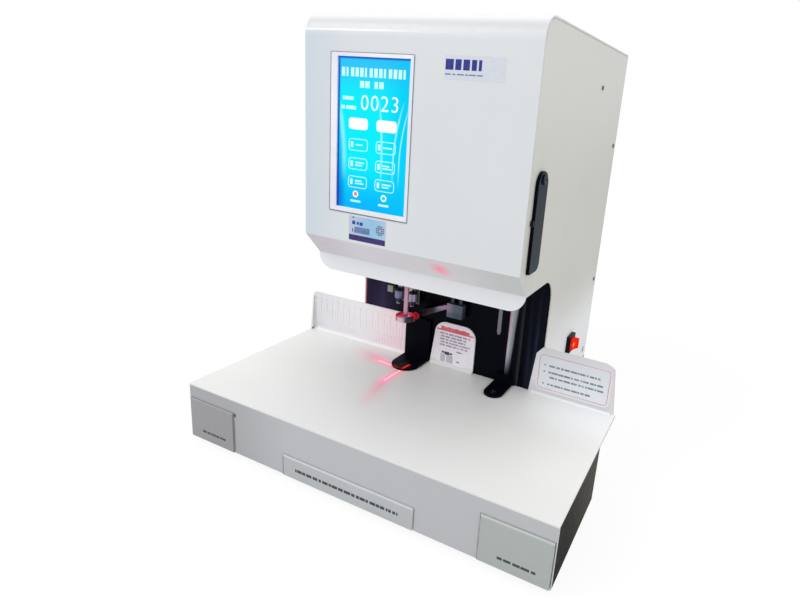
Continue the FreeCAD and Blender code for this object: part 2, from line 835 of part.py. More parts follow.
def make_front_cover():
    """Moulded front: face, round top edge, bevel and the lip over the throat."""
    wall = "cover_wall"
    profile = plate("YZ_Plane", [
        ("face_y", "bevel_z"),
        ("lip_y", "bevel_foot_z"),
        ("lip_y", "lip_z"),
        ("lip_y + " + wall, "lip_z"),
        ("lip_y + " + wall, "bevel_foot_z + bevel_miter"),
        ("face_y + " + wall, "bevel_z + bevel_miter"),
        ("face_y + " + wall, "top_z - cover_round"),
        ("face_y + cover_round", "top_z - " + wall, "cover_round - " + wall, -1),
        ("face_y + cover_top_run", "top_z - " + wall),
        ("face_y + cover_top_run", "top_z"),
        ("face_y + cover_round", "top_z"),
        ("face_y", "top_z - cover_round", "cover_round", 1),
    ], ("tower_left", "tower_right"))
    across = ("lip_y - overrun", "lip_y + cover_wall + overrun")
    low = "lip_z - overrun"
    corners = [
        plate("XZ_Plane", [
            ("tower_left - overrun", low), ("tower_left + lip_corner", low),
            ("tower_left + lip_corner", "lip_z"),
            ("tower_left", "lip_z + lip_corner", "lip_corner", -1),
            ("tower_left - overrun", "lip_z + lip_corner"),
        ], across),
        plate("XZ_Plane", [
            ("tower_right + overrun", low), ("tower_right + overrun", "lip_z + lip_corner"),
            ("tower_right", "lip_z + lip_corner"),
            ("tower_right - lip_corner", "lip_z", "lip_corner", -1),
            ("tower_right - lip_corner", low),
        ], across),
    ]
    window = block(("screen_x + bezel_lip", "screen_right_x - bezel_lip"),
                   ("face_y - overrun", "face_y + cover_wall + overrun"),
                   ("screen_z + bezel_lip", "screen_top_z - bezel_lip"))
    node("front_cover", cut(profile, window, *corners))


def make_rear_casing():
    """Flat top sheet, and the rear cover with its vents, fan slots and inlet cut-out."""
    node("top_cover", block(("tower_left", "tower_right"), ("face_y + cover_top_run + casing_gap", "rear_y"),
                            ("top_z - cover_wall", "top_z")))
    across = ("rear_y - sheet_gauge", "rear_y")
    through = ("rear_y - sheet_gauge - overrun", "rear_y + overrun")
    back = block(("tower_left", "tower_right"), across, ("base_z", "top_z - cover_wall - casing_gap"))
    inlet = block(("inlet_x - inlet_recess_half_width - inlet_body_margin - casing_gap",
                   "inlet_x + inlet_recess_half_width + inlet_body_margin + casing_gap"), through,
                  ("inlet_z - inlet_recess_half_height - inlet_body_margin - casing_gap",
                   "inlet_z + inlet_recess_half_height + inlet_body_margin + casing_gap"))
    slots = []
    for step in range(-3, 4):
        height = "fan_z + %d * fan_slot_pitch" % step
        width = "(sqrt(pow(fan_bore_radius; 2) - pow(%d * fan_slot_pitch; 2)) - fan_slot_half_height)" % step
        slots.append(block(("fan_x - " + width, "fan_x + " + width), through,
                           (height + " - fan_slot_half_height", height + " + fan_slot_half_height")))
    for step in range(ELECTRICS["vent_count"]):
        middle = "vent_x + %d * vent_pitch" % step
        slots.append(block((middle + " - vent_half_width", middle + " + vent_half_width"), through,
                           ("top_z - vent_drop", "top_z - vent_drop + vent_height")))
    holes = [rod("y", (x, z), through, "screw_shank_radius + running_gap") for x, z in REAR_SCREWS]
    node("rear_cover", cut(back, inlet, *slots, *holes))


def make_throat():
    """Glossy plate behind the fence with the sleeve of the rivet column, and the head's floor."""
    left, right = "inner_left + casing_gap", "inner_right - casing_gap"
    liner = block((left, right), ("liner_y", "liner_back_y"), ("base_z + liner_foot_level", "liner_top_z"))
    sleeve = rod("z", ("column_x", "column_y"), ("base_z + liner_foot_level", "liner_top_z"),
                 "column_sleeve_radius")
    bore = rod("z", ("column_x", "column_y"),
               ("base_z + liner_foot_level - overrun", "liner_top_z + overrun"),
               "column_sleeve_radius - column_sleeve_wall")
    node("throat_plate", cut(fuse(liner, sleeve), bore))
    floor = block((left, right), ("lip_y + cover_wall + casing_gap", "liner_y - casing_gap"),
                  ("floor_z", "floor_top_z"))
    through = ("floor_z - overrun", "floor_top_z + overrun")
    holes = [
        rod("z", ("drill_x", "tool_y"), through, "nose_radius + stop_gap"),
        rod("z", ("rivet_x", "tool_y"), through, "upper_heater_radius + stop_gap"),
        rod("z", ("column_x", "column_y"), through, "column_sleeve_radius + sliding_gap"),
        rod("z", ("foot_rod_left_x", "foot_rod_y"), through, "foot_rod_radius + sliding_gap"),
        rod("z", ("foot_rod_right_x", "foot_rod_y"), through, "foot_rod_radius + sliding_gap"),
    ]
    node("head_floor", cut(floor, *holes))


def tongue(x, radius, tip, rise, leg_back, hole):
    """Bracket: a flat tongue with a round tip on the table and a leg turned up behind it."""
    left, right = "%s - %s" % (x, radius), "%s + %s" % (x, radius)
    tip_y = "front_y + " + tip
    flat = plate("XY_Plane", [
        (left, "%s + %s" % (tip_y, radius)),
        (x, tip_y, radius, 1),
        (right, "%s + %s" % (tip_y, radius), radius, 1),
        (right, leg_back),
        (left, leg_back),
    ], ("table_z", "tongue_z"))
    leg = block((left, right), (leg_back + " - tongue_gauge", leg_back), ("table_z", "table_z + " + rise))
    return cut(fuse(flat, leg), rod("z", (x, "tool_y"), ("table_z - overrun", "tongue_z + overrun"), hole))


def make_stations():
    """Tongues on the table, the cutting pad, and the heated lower die."""
    node("drill_tongue", tongue("drill_x", "drill_tongue_radius", "drill_tongue_tip", "drill_tongue_rise",
                                "fence_back_y - casing_gap", "pad_radius + pad_bore_gap"))
    node("cutting_pad", rod("z", ("drill_x", "tool_y"), ("bed_z", "tongue_z"), "pad_radius"))
    node("rivet_tongue", tongue("rivet_x", "rivet_tongue_radius", "rivet_tongue_tip", "rivet_tongue_rise",
                                "column_y - column_sleeve_radius - casing_gap",
                                "die_radius + pad_bore_gap"))
    die = rod("z", ("rivet_x", "tool_y"), ("base_z + heater_top_level", "tongue_z + die_proud"),
              "die_radius")
    cup = cone("z", ("rivet_x", "tool_y"), ("tongue_z + die_proud - die_cup_depth", "tongue_z + die_proud"),
               "die_cup_radius / 2", "die_cup_radius")
    node("lower_die", cut(die, cup))
    node("lower_heater", rod("z", ("rivet_x", "tool_y"),
                             ("base_z + heater_foot_level", "base_z + heater_top_level"), "heater_radius"))


def make_frame():
    """Steel frame: two L-shaped plates, the bed under the table and the plate that carries the tools."""
    profile = [
        ("front_y + arm_inset", "base_z + arm_low_level"),
        ("front_y + frame_back_inset", "base_z + arm_low_level"),
        ("front_y + frame_back_inset", "frame_top_z"),
        ("frame_y", "frame_top_z"),
        ("frame_y", "base_z + arm_high_level"),
        ("front_y + arm_inset", "base_z + arm_high_level"),
    ]
    feet = ("base_z + table_gauge", "base_z + arm_low_level")
    for label, near, far in (("left_frame_plate", "-frame_half - frame_gauge", "-frame_half"),
                             ("right_frame_plate", "frame_half", "frame_half + frame_gauge")):
        sole = block((near, far), ("frame_y", "front_y + frame_back_inset"), feet)
        node(label, fuse(plate("YZ_Plane", profile, (near, far)), sole))
    bed = block(("-frame_half", "frame_half"),
                ("front_y + bed_front_inset", "front_y + bed_back_inset"),
                ("base_z + bed_low_level", "bed_z"))
    bore = rod("z", ("rivet_x", "tool_y"), ("base_z + bed_low_level - overrun", "bed_z + overrun"),
               "heater_radius + casing_gap")
    socket = rod("z", ("column_x", "column_y"), ("base_z + bed_low_level - overrun", "bed_z + overrun"),
                 "column_radius + running_gap")
    heel = block(("column_x - column_radius - bed_flange_gauge", "frame_half"),
                 ("front_y + bed_back_inset", "column_y + column_radius + bed_flange_gauge"),
                 ("base_z + bed_low_level", "base_z + arm_high_level"))
    node("bed_beam", cut(fuse(bed, heel), bore, socket))
    node("head_plate", block(("-frame_half - frame_gauge", "frame_half + frame_gauge"),
                             ("plate_y", "frame_y"),
                             ("base_z + head_plate_low", "frame_top_z")))


def bores(low, high, places):
    """Running bores (x, y, radius) through everything between two heights."""
    span = (low + " - overrun", high + " + overrun")
    return [rod("z", (x, y), span, radius + " + running_gap") for x, y, radius in places]


def make_shaft_blocks():
    """Blocks on the head plate that hold shafts, column and screws, below and above."""
    blocks = []
    for low, high in (("block_low_z", "block_high_z"), ("upper_block_z", "upper_block_top_z")):
        depth = ("shaft_y - block_front", "plate_y")
        drill_side = ("drill_x - block_half_width", "drill_x + block_half_width")
        rivet_side = ("rivet_carriage_left", "rivet_carriage_right")
        blocks.append(cut(block(drill_side, depth, (low, high)), *bores(low, high, DRILL_BORES)))
        blocks.append(cut(block(rivet_side, depth, (low, high)), *bores(low, high, RIVET_BORES)))
    node("shaft_blocks", group(*blocks))
    span = ("block_low_z", "upper_block_top_z")
    node("drill_guide_shafts", group(*[rod("z", (x, y), span, radius) for x, y, radius in DRILL_SHAFTS]))


def make_drill_carriage():
    """Carriage with the spindle quill, the slab on both shafts, the foot's bush and the motor plate."""
    height = ("carriage_z", "carriage_top_z")
    quill = block(("drill_x - quill_half_width", "drill_x + quill_half_width"),
                  ("tool_y - quill_half_width", "shaft_y - slab_front"), height)
    slab = block(("drill_x - block_half_width", "drill_x + block_half_width"),
                 ("shaft_y - slab_front", "shaft_y + slab_back"), height)
    bush = block(("drill_x + quill_half_width", "foot_block_right"),
                 ("shaft_y - foot_pad_front", "shaft_y + slab_back"), height)
    shelf = block(("motor_x - motor_radius", "drill_x"), ("tool_y - motor_radius", "tool_y + motor_radius"),
                  ("carriage_top_z - motor_plate_gauge", "carriage_top_z"))
    seats = [("drill_x", "tool_y", "quill_bore_radius"), ("motor_x", "tool_y", "motor_neck_radius")]
    node("drill_carriage", cut(fuse(quill, slab, bush, shelf),
                               *bores("carriage_z", "carriage_top_z", DRILL_BORES + FOOT_RODS + seats)))
    bearings = []
    for low in ("carriage_z + bearing_low", "carriage_top_z - bearing_low - bearing_height"):
        bearings.append(ring("z", ("drill_x", "tool_y"), (low, low + " + bearing_height"),
                             "quill_bore_radius", "bearing_bore_radius"))
    node("spindle_bearings", group(*bearings))
    top = "carriage_top_z - motor_plate_gauge"
    can = rod("z", ("motor_x", "tool_y"), (top + " - motor_length", top), "motor_radius")
    neck = rod("z", ("motor_x", "tool_y"), (top + " - overrun", "carriage_top_z"), "motor_neck_radius")
    well = rod("z", ("motor_x", "tool_y"),
               ("carriage_top_z - motor_shaft_length", "carriage_top_z + overrun"),
               "motor_shaft_radius + running_gap")
    node("drill_motor", cut(fuse(can, neck), well))


def pulley(x, radius, bore):
    """Flanged belt pulley."""
    centre = (x, "tool_y")
    rim = rod("z", centre, ("pulley_z", "pulley_top_z"), radius)
    low = rod("z", centre, ("pulley_z", "pulley_z + pulley_flange_gauge"), radius + " + pulley_flange_proud")
    high = rod("z", centre, ("pulley_top_z - pulley_flange_gauge", "pulley_top_z"),
               radius + " + pulley_flange_proud")
    body = fuse(rim, low, high)
    if bore:
        return cut(body, rod("z", centre, ("pulley_z - overrun", "pulley_top_z + overrun"), bore))
    return body


def make_spindle():
    """Hollow spindle with its nose, the hollow drill, both pulleys and the belt."""
    axis = ("drill_x", "tool_y")
    nose = rod("z", axis, ("base_z + nose_low_level", "base_z + nose_high_level"), "nose_radius")
    shaft = rod("z", axis, ("base_z + nose_low_level", "pulley_top_z"), "bearing_bore_radius - running_gap")
    chip_bore = rod("z", axis, ("base_z + nose_low_level - overrun", "pulley_top_z + overrun"),
                    "spindle_bore_radius")
    socket = rod("z", axis, ("base_z + nose_low_level - overrun", "base_z + bit_top_level"),
                 "bit_radius + running_gap")
    node("drill_spindle", cut(fuse(nose, shaft), fuse(chip_bore, socket)))
    tube = rod("z", axis, ("base_z + bit_tip_level + bit_cone", "base_z + bit_top_level"), "bit_radius")
    edge = cone("z", axis, ("base_z + bit_tip_level", "base_z + bit_tip_level + bit_cone"),
                "bit_bore_radius + running_gap", "bit_radius")
    hollow = rod("z", axis, ("base_z + bit_tip_level - overrun", "base_z + bit_top_level + overrun"),
                 "bit_bore_radius")
    node("hollow_drill", cut(fuse(tube, edge), hollow))
    node("spindle_pulley", pulley("drill_x", "spindle_pulley_radius", "bearing_bore_radius"))
    stub = rod("z", ("motor_x", "tool_y"),
               ("carriage_top_z - motor_shaft_length + stop_gap", "pulley_z + overrun"),
               "motor_shaft_radius")
    node("motor_pulley", fuse(pulley("motor_x", "motor_pulley_radius", None), stub))
    node("drill_belt", cut(belt_slab("casing_gap + belt_gauge", "stop_gap"),
                           belt_slab("casing_gap", "stop_gap - overrun")))


def belt_slab(grow, trim):
    """Space inside a belt line that stands off both pulleys by the formula grow."""
    span = ("pulley_z + " + trim, "pulley_top_z - (%s)" % trim)
    big, small = "(spindle_pulley_radius + %s)" % grow, "(motor_pulley_radius + %s)" % grow
    lean = "((spindle_pulley_radius - motor_pulley_radius) / motor_offset)"
    rise = "sqrt(1 - pow(%s; 2))" % lean
    straight = plate("XY_Plane", [
        ("drill_x - %s * %s" % (big, lean), "tool_y - %s * %s" % (big, rise)),
        ("drill_x - %s * %s" % (big, lean), "tool_y + %s * %s" % (big, rise)),
        ("motor_x - %s * %s" % (small, lean), "tool_y + %s * %s" % (small, rise)),
        ("motor_x - %s * %s" % (small, lean), "tool_y - %s * %s" % (small, rise)),
    ], span)
    ends = [rod("z", (x, "tool_y"), span, radius) for x, radius in (("drill_x", big), ("motor_x", small))]
    return fuse(straight, *ends)


def stepper(x, side, height):
    """Square motor with slightly round corners, on an upper block."""
    across = ("%s - %s / 2" % (x, side), "%s + %s / 2" % (x, side))
    depth = ("shaft_y - %s / 2" % side, "shaft_y + %s / 2" % side)
    return plate("XY_Plane", rounded_outline(across, depth, "stop_gap"),
                 ("upper_block_top_z", "upper_block_top_z + " + height))


def make_drill_feed():
    """Lead screw and motor that lower the drill carriage."""
    node("feed_screw", rod("z", ("drill_x", "shaft_y"), ("block_low_z", "upper_block_top_z"),
                           "screw_radius"))
    node("feed_motor", stepper("drill_x", "feed_motor_side", "feed_motor_height"))


def make_press_foot():
    """Ring that holds the paper round the drill, its arm, the block and the two rods."""
    eye = ring("z", ("drill_x", "tool_y"), ("ring_z", "ring_z + ring_gauge"),
               "ring_radius", "ring_bore_radius")
    arm_x = "drill_x + arm_width / 2"
    depth = ("tool_y + foot_block_front", "tool_y + foot_block_front + arm_width")
    back_bar = block((arm_x, arm_x + " + arm_width"), ("tool_y + ring_bore_radius + stop_gap", depth[1]),
                     ("ring_z", "ring_z + ring_gauge"))
    riser = plate("XZ_Plane", [
        (arm_x, "ring_z"),
        (arm_x + " + arm_width", "ring_z"),
        ("foot_block_left", "ring_z + arm_rise"),
        ("foot_block_left", "ring_z + arm_rise + ring_gauge"),
        (arm_x, "ring_z + ring_gauge"),
    ], depth)
    holder = block(("foot_block_left", "foot_block_right"), (depth[0], "tool_y + foot_block_back"),
                   ("foot_block_z", "foot_block_top_z"))
    node("press_foot", fuse(eye, back_bar, riser, holder))
    span = ("foot_block_top_z", "top_z - foot_rod_drop")
    node("press_foot_rods", group(*[rod("z", (x, y), span, radius) for x, y, radius in FOOT_RODS]))


def make_lasers():
    """Two line lasers that mark the hole, on a bracket under the head's floor."""
    y = "tool_y + laser_back"
    span = ("base_z + laser_level", "base_z + laser_level + laser_length")
    step = span[0] + " + laser_barrel_length"
    modules = [fuse(rod("z", (x, y), (step, span[1]), "laser_radius"),
                    rod("z", (x, y), (span[0], step), "laser_barrel_radius"))
               for x in ("-laser_left", "-laser_right")]
    node("laser_modules", group(*modules))
    front = y + " + laser_radius + casing_gap"
    node("laser_bracket", block(("-laser_left - laser_radius", "-laser_right + laser_radius"),
                                (front, front + " + laser_bracket_gauge"), (span[0], "floor_z")))


def make_rivet_head():
    """Rivet column, press carriage, heater with its pin, lead screw and motor."""
    node("rivet_column", rod("z", ("column_x", "column_y"), ("base_z + bed_low_level", "upper_block_top_z"),
                             "column_radius"))
    top = "rivet_carriage_z + rivet_carriage_height"
    body = block(("rivet_carriage_left", "rivet_carriage_right"),
                 ("tool_y + rivet_carriage_front", "plate_y - stop_gap"), ("rivet_carriage_z", top))
    arm = block(("rivet_x - rivet_arm_half_width", "rivet_x + rivet_arm_half_width"),
                ("tool_y - rivet_arm_half_width", "tool_y + rivet_carriage_front"),
                ("rivet_carriage_z", "rivet_carriage_z + rivet_arm_gauge"))
    node("rivet_carriage", cut(fuse(body, arm), *bores("rivet_carriage_z", top, RIVET_BORES)))
    axis = ("rivet_x", "tool_y")
    node("upper_heater", rod("z", axis, ("upper_heater_z", "rivet_carriage_z"), "upper_heater_radius"))
    tip = "base_z + rivet_pin_tip"
    node("rivet_pin", fuse(
        rod("z", axis, (tip + " + rivet_pin_cone", "upper_heater_z"), "rivet_pin_radius"),
        cone("z", axis, (tip, tip + " + rivet_pin_cone"), "rivet_pin_radius / 2", "rivet_pin_radius")))
    node("rivet_screw", rod("z", ("rivet_screw_x", "shaft_y"), ("block_low_z", "upper_block_top_z"),
                            "rivet_screw_radius"))
    node("rivet_motor", stepper("rivet_screw_x", "rivet_motor_side", "rivet_motor_height"))


def make_loading_cover():
    """Smoked cover that swings on one screw over the tube holder in the side panel."""
    inner = "tower_right + casing_gap"
    outer = inner + " + door_gauge"
    low, high = "base_z + door_low", "base_z + door_high"
    leaf = plate("YZ_Plane", [
        ("door_back_y - door_corner", low),
        ("door_back_y", low + " + door_corner", "door_corner", 1),
        ("door_back_y", "door_round_z"),
        ("door_pivot_y", high, "door_half", 1),
        ("door_y", "door_round_z", "door_half", 1),
        ("door_y", low + " + door_small_corner"),
        ("door_y + door_small_corner", low, "door_small_corner", 1),
    ], (inner, outer))
    pivot = ("door_pivot_y", "door_pivot_z")
    through = ("inner_right - overrun", outer + " + overrun")
    node("loading_cover", cut(leaf, rod("x", pivot, through, "pivot_screw_radius + running_gap")))
    shank = rod("x", pivot, ("inner_right - screw_length", outer + " + casing_gap"), "pivot_screw_radius")
    head = rod("x", pivot, (outer + " + casing_gap", outer + " + casing_gap + pivot_head_height"),
               "pivot_head_radius")
    node("cover_pivot_screw", fuse(shank, head))
    back = "inner_right - casing_gap"
    shell = block((back + " - holder_depth", back),
                  ("window_y - holder_wall", "window_back_y + holder_wall"),
                  ("window_z - holder_wall", "window_top_z + holder_wall"))
    hollow = block((back + " - holder_depth + holder_wall", back + " + overrun"),
                   ("window_y", "window_back_y"), ("window_z", "window_top_z"))
    node("tube_holder", cut(shell, hollow))


def make_switch():
    """Mains switch in the right side panel: housing with a flange, and the lit rocker on its pin."""
    flange = block(("tower_right", "tower_right + switch_proud"), ("switch_y", "switch_back_y"),
                   ("switch_z", "switch_top_z"))
    body = block(("tower_right - switch_body_depth", "tower_right"),
                 ("switch_y + switch_flange", "switch_back_y - switch_flange"),
                 ("switch_z + switch_flange", "switch_top_z - switch_flange"))
    rim = "(switch_flange + switch_wall)"
    well = block(("rocker_pivot_x - rocker_depth", "tower_right + switch_proud + overrun"),
                 ("switch_y + " + rim, "switch_back_y - " + rim),
                 ("switch_z + " + rim, "switch_top_z - " + rim))
    pivot = ("rocker_pivot_x", "switch_mid_y")
    holes = rod("z", pivot,
                ("switch_z + switch_flange - overrun", "switch_top_z - switch_flange + overrun"),
                "rocker_pin_radius + running_gap")
    node("switch_housing", cut(fuse(flange, body), well, holes))
    height = ("switch_z + %s + sliding_gap" % rim, "switch_top_z - %s - sliding_gap" % rim)
    face = "rocker_pivot_x + rocker_depth / 2"
    near, far = "switch_y + %s + stop_gap" % rim, "switch_back_y - %s - stop_gap" % rim
    paddle = plate("XY_Plane", [
        ("rocker_pivot_x - rocker_depth / 2", near),
        (face + " + rocker_near_proud", near),
        (face + " + rocker_mid_proud", "switch_mid_y"),
        (face + " + rocker_proud", far + " - rocker_taper"),
        ("rocker_pivot_x - rocker_depth / 2", far),
    ], height)
    pin = rod("z", pivot,
              ("switch_z + switch_flange + sliding_gap", "switch_top_z - switch_flange - sliding_gap"),
              "rocker_pin_radius")
    node("power_rocker", fuse(paddle, pin))


def screw(axis, centre, shank, head):
    """Pan-head screw between the end formulas of its shank and of its head."""
    return fuse(rod(axis, centre, shank, "screw_shank_radius"), rod(axis, centre, head, "screw_head_radius"))


def make_screws():
    """Screws of the side panels and the rear cover."""
    screws = []
    for centre in SIDE_SCREWS:
        screws.append(screw("x", centre, ("tower_right - screw_length", "tower_right"),
                            ("tower_right", "tower_right + screw_head_height")))
        screws.append(screw("x", centre, ("tower_left", "tower_left + screw_length"),
                            ("tower_left - screw_head_height", "tower_left")))
    for centre in REAR_SCREWS:
        screws.append(screw("y", centre, ("rear_y - screw_length", "rear_y"),
                            ("rear_y", "rear_y + screw_head_height")))
    node("panel_screws", group(*screws))


def make_electrics():
    """Mains inlet at the back and the power supply on the floor."""
    across = ("inlet_x - inlet_half_width", "inlet_x + inlet_half_width")
    flange = block(across, ("rear_y", "rear_y + trim_proud"), ("inlet_z - inlet_half_height",
                                                               "inlet_z + inlet_half_height"))
    wide, tall = "inlet_recess_half_width", "inlet_recess_half_height"
    body = block(("inlet_x - %s - inlet_body_margin" % wide, "inlet_x + %s + inlet_body_margin" % wide),
                 ("rear_y - inlet_depth", "rear_y"),
                 ("inlet_z - %s - inlet_body_margin" % tall, "inlet_z + %s + inlet_body_margin" % tall))
    floor = "rear_y + trim_proud - inlet_recess_depth"
    recess = block(("inlet_x - " + wide, "inlet_x + " + wide), (floor, "rear_y + trim_proud + overrun"),
                   ("inlet_z - " + tall, "inlet_z + " + tall))
    pins = []
    for x, z in (("inlet_x", "inlet_z + inlet_pin_half_width"),
                 ("inlet_x - inlet_pin_spread", "inlet_z - inlet_pin_half_width"),
                 ("inlet_x + inlet_pin_spread", "inlet_z - inlet_pin_half_width")):
        pins.append(block((x + " - inlet_pin_half_height", x + " + inlet_pin_half_height"),
                          (floor + " - overrun", floor + " + inlet_pin_length"),
                          (z + " - inlet_pin_half_width", z + " + inlet_pin_half_width")))
    node("mains_inlet", fuse(cut(fuse(flange, body), recess), *pins))
    low = "base_z + table_gauge"
    case = block(("-supply_left", "-supply_left + supply_width"),
                 ("front_y + supply_front", "rear_y - sheet_gauge - supply_rear_gap"),
                 (low, low + " + supply_height"))
    strip = block(("-supply_left + board_margin", "-supply_left + supply_width - board_margin"),
                  ("front_y + supply_front - overrun", "front_y + supply_front + standoff_inset"),
                  (low + " + supply_height / 2", low + " + supply_height + overrun"))
    node("power_supply", cut(case, strip))


def make_screen():
    """Bezel in the front cover, the touch display in it and the control board behind."""
    flange = block(("screen_x", "screen_right_x"), ("face_y - bezel_proud", "face_y"),
                   ("screen_z", "screen_top_z"))
    lip = "bezel_lip + casing_gap"
    rim = block(("screen_x + " + lip, "screen_right_x - (%s)" % lip), ("face_y", "face_y + bezel_depth"),
                ("screen_z + " + lip, "screen_top_z - (%s)" % lip))
    view = block(("view_x", "view_right_x"),
                 ("face_y - bezel_proud - overrun", "face_y + bezel_depth + overrun"),
                 ("view_z", "view_top_z"))
    node("screen_bezel", cut(fuse(flange, rim), view))
    node("display_module", block(("view_x + casing_gap", "view_right_x - casing_gap"),
                                 ("display_y", "display_back_y"),
                                 ("view_z + casing_gap", "view_top_z - casing_gap")))
    left, right = "screen_x + board_margin", "screen_right_x - board_margin"
    low, high = "screen_z + board_margin", "screen_top_z - board_margin"
    back = "board_y + board_gauge"
    board = block((left, right), ("board_y", back), (low, high))
    posts = [rod("y", (x, z), ("display_back_y", "board_y"), "standoff_radius")
             for x in (left + " + standoff_inset", right + " - standoff_inset")
             for z in (low + " + standoff_inset", high + " - standoff_inset")]
    chips = []
    for share in CHIP_SHARES:
        z = "(%s) + ((%s) - (%s)) * %s" % (low, high, low, share)
        chips.append(block((left + " + chip_side", left + " + 2 * chip_side"),
                           (back, back + " + chip_height"), (z, z + " + chip_side")))
    node("control_board", fuse(board, *posts, *chips))


def along(terms):
    """Formula for a sum of (number, name) terms."""
    return " + ".join("(%.9f) * %s" % (number, name) for number, name in terms)


def make_fan():
    """Square fan on the rear cover: frame with its web and axle, and the bladed rotor."""
    centre = ("fan_x", "fan_z")
    half = "fan_side / 2"
    frame = cut(plate("XZ_Plane", rounded_outline(("fan_x - " + half, "fan_x + " + half),
                                                  ("fan_z - " + half, "fan_z + " + half), "fan_web_gauge"),
                      ("fan_y", "fan_back_y")),
                rod("y", centre, ("fan_y - overrun", "fan_back_y + overrun"), "fan_bore_radius"))
    web = ("fan_back_y - fan_web_gauge", "fan_back_y")
    hub = rod("y", centre, web, "fan_hub_radius")
    arms = [
        block(("fan_x - " + half, "fan_x + " + half), web,
              ("fan_z - fan_web_gauge / 2", "fan_z + fan_web_gauge / 2")),
        block(("fan_x - fan_web_gauge / 2", "fan_x + fan_web_gauge / 2"), web,
              ("fan_z - " + half, "fan_z + " + half)),
    ]
    axle = rod("y", centre, ("fan_y + fan_web_gauge", web[0]), "fan_axle_radius")
    node("fan_housing", fuse(frame, hub, axle, *arms))
    span = ("fan_y + fan_web_gauge", web[0] + " - stop_gap")
    boss = ring("y", centre, span, "fan_hub_radius", "fan_axle_radius + running_gap")
    blades = []
    pitch = FreeCAD.Rotation(X_AXIS, 40)
    middle = "(fan_y + fan_web_gauge + fan_back_y - fan_web_gauge - stop_gap) / 2"
    for number in range(ELECTRICS["fan_blade_count"]):
        blade = doc.addObject("Part::Box", "Blade")
        turn = FreeCAD.Rotation(Y_AXIS, 360 * number / ELECTRICS["fan_blade_count"]) * pitch
        blade.Placement.Rotation = turn
        bind(blade, "Length", "fan_bore_radius - fan_blade_gap - fan_hub_radius + fan_blade_gauge")
        bind(blade, "Width", "fan_blade_depth")
        bind(blade, "Height", "fan_blade_gauge")
        out, deep, thick = [turn.multVec(axis) for axis in (X_AXIS, Y_AXIS, Z_AXIS)]
        for axis, origin in (("x", "fan_x"), ("y", middle), ("z", "fan_z")):
            shift = along([
                (getattr(out, axis), "fan_hub_radius"),
                (-getattr(out, axis), "fan_blade_gauge"),
                (-getattr(deep, axis) / 2, "fan_blade_depth"),
                (-getattr(thick, axis) / 2, "fan_blade_gauge"),
            ])
            place(blade, **{axis: "%s + %s" % (origin, shift)})
        blades.append(blade)
    node("fan_rotor", fuse(boss, *blades))


fill_sheet()
make_table()
make_base()
make_drawers()
make_side_panels()
make_front_cover()
make_rear_casing()
make_throat()
make_stations()
make_frame()
make_shaft_blocks()
make_drill_carriage()
make_spindle()
make_drill_feed()
make_press_foot()
make_lasers()
make_rivet_head()
make_loading_cover()
make_switch()
make_screws()
make_electrics()
make_screen()
make_fan()
doc.recompute()


def check_and_write():
    """Stop on any failed object or bad shape, then write one file for each sub-part."""
    for item in doc.Objects:
        if "Invalid" in item.State or "Error" in item.State:
            raise RuntimeError("failed: %s %s" % (item.Name, item.State))
    for item in nodes:
        if item.Shape.isNull() or not item.Shape.isValid() or not item.Shape.Solids:
            raise RuntimeError("bad shape: " + item.Label)
    os.makedirs("parts", exist_ok=True)
    for item in nodes:
        item.Shape.exportStep("parts/%s.step" % item.Label)


check_and_write()
print("nodes", len(nodes))
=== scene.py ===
import math

import bmesh
import bpy
from mathutils import Matrix, Vector


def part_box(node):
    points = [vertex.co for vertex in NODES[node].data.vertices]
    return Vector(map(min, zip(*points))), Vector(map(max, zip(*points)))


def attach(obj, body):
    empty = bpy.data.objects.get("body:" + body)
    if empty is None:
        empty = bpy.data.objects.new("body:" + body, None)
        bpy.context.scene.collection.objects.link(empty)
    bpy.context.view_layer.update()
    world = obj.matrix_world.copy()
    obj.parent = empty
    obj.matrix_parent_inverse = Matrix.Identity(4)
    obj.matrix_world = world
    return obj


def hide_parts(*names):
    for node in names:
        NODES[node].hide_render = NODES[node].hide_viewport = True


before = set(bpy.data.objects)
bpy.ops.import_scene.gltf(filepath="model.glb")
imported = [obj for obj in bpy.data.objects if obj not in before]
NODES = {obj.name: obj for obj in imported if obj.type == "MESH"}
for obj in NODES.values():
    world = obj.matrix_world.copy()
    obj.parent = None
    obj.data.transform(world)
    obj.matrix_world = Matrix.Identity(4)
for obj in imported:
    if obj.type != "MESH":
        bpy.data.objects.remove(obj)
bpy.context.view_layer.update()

# Looks of a desk riveting machine. Row frame in metres: +X right, -Y front, +Z up.
# Sizes are written in millimetres and pass through mm().

X, Y, Z = Matrix.Identity(3)  # unit vectors along the axes


def mm(*numbers):
    """Millimetres to metres."""
    return numbers[0] / 1000 if len(numbers) == 1 else tuple(number / 1000 for number in numbers)


def srgb(red, green, blue):
    """Linear colour of 8-bit screen values."""
    def linear(part):
        part /= 255
        return part / 12.92 if part <= 0.04045 else ((part + 0.055) / 1.055) ** 2.4
    return (linear(red), linear(green), linear(blue), 1.0)


def shade(colour, factor):
    """The colour made darker or lighter."""
    return tuple(min(part * factor, 1.0) for part in colour[:3]) + (1.0,)


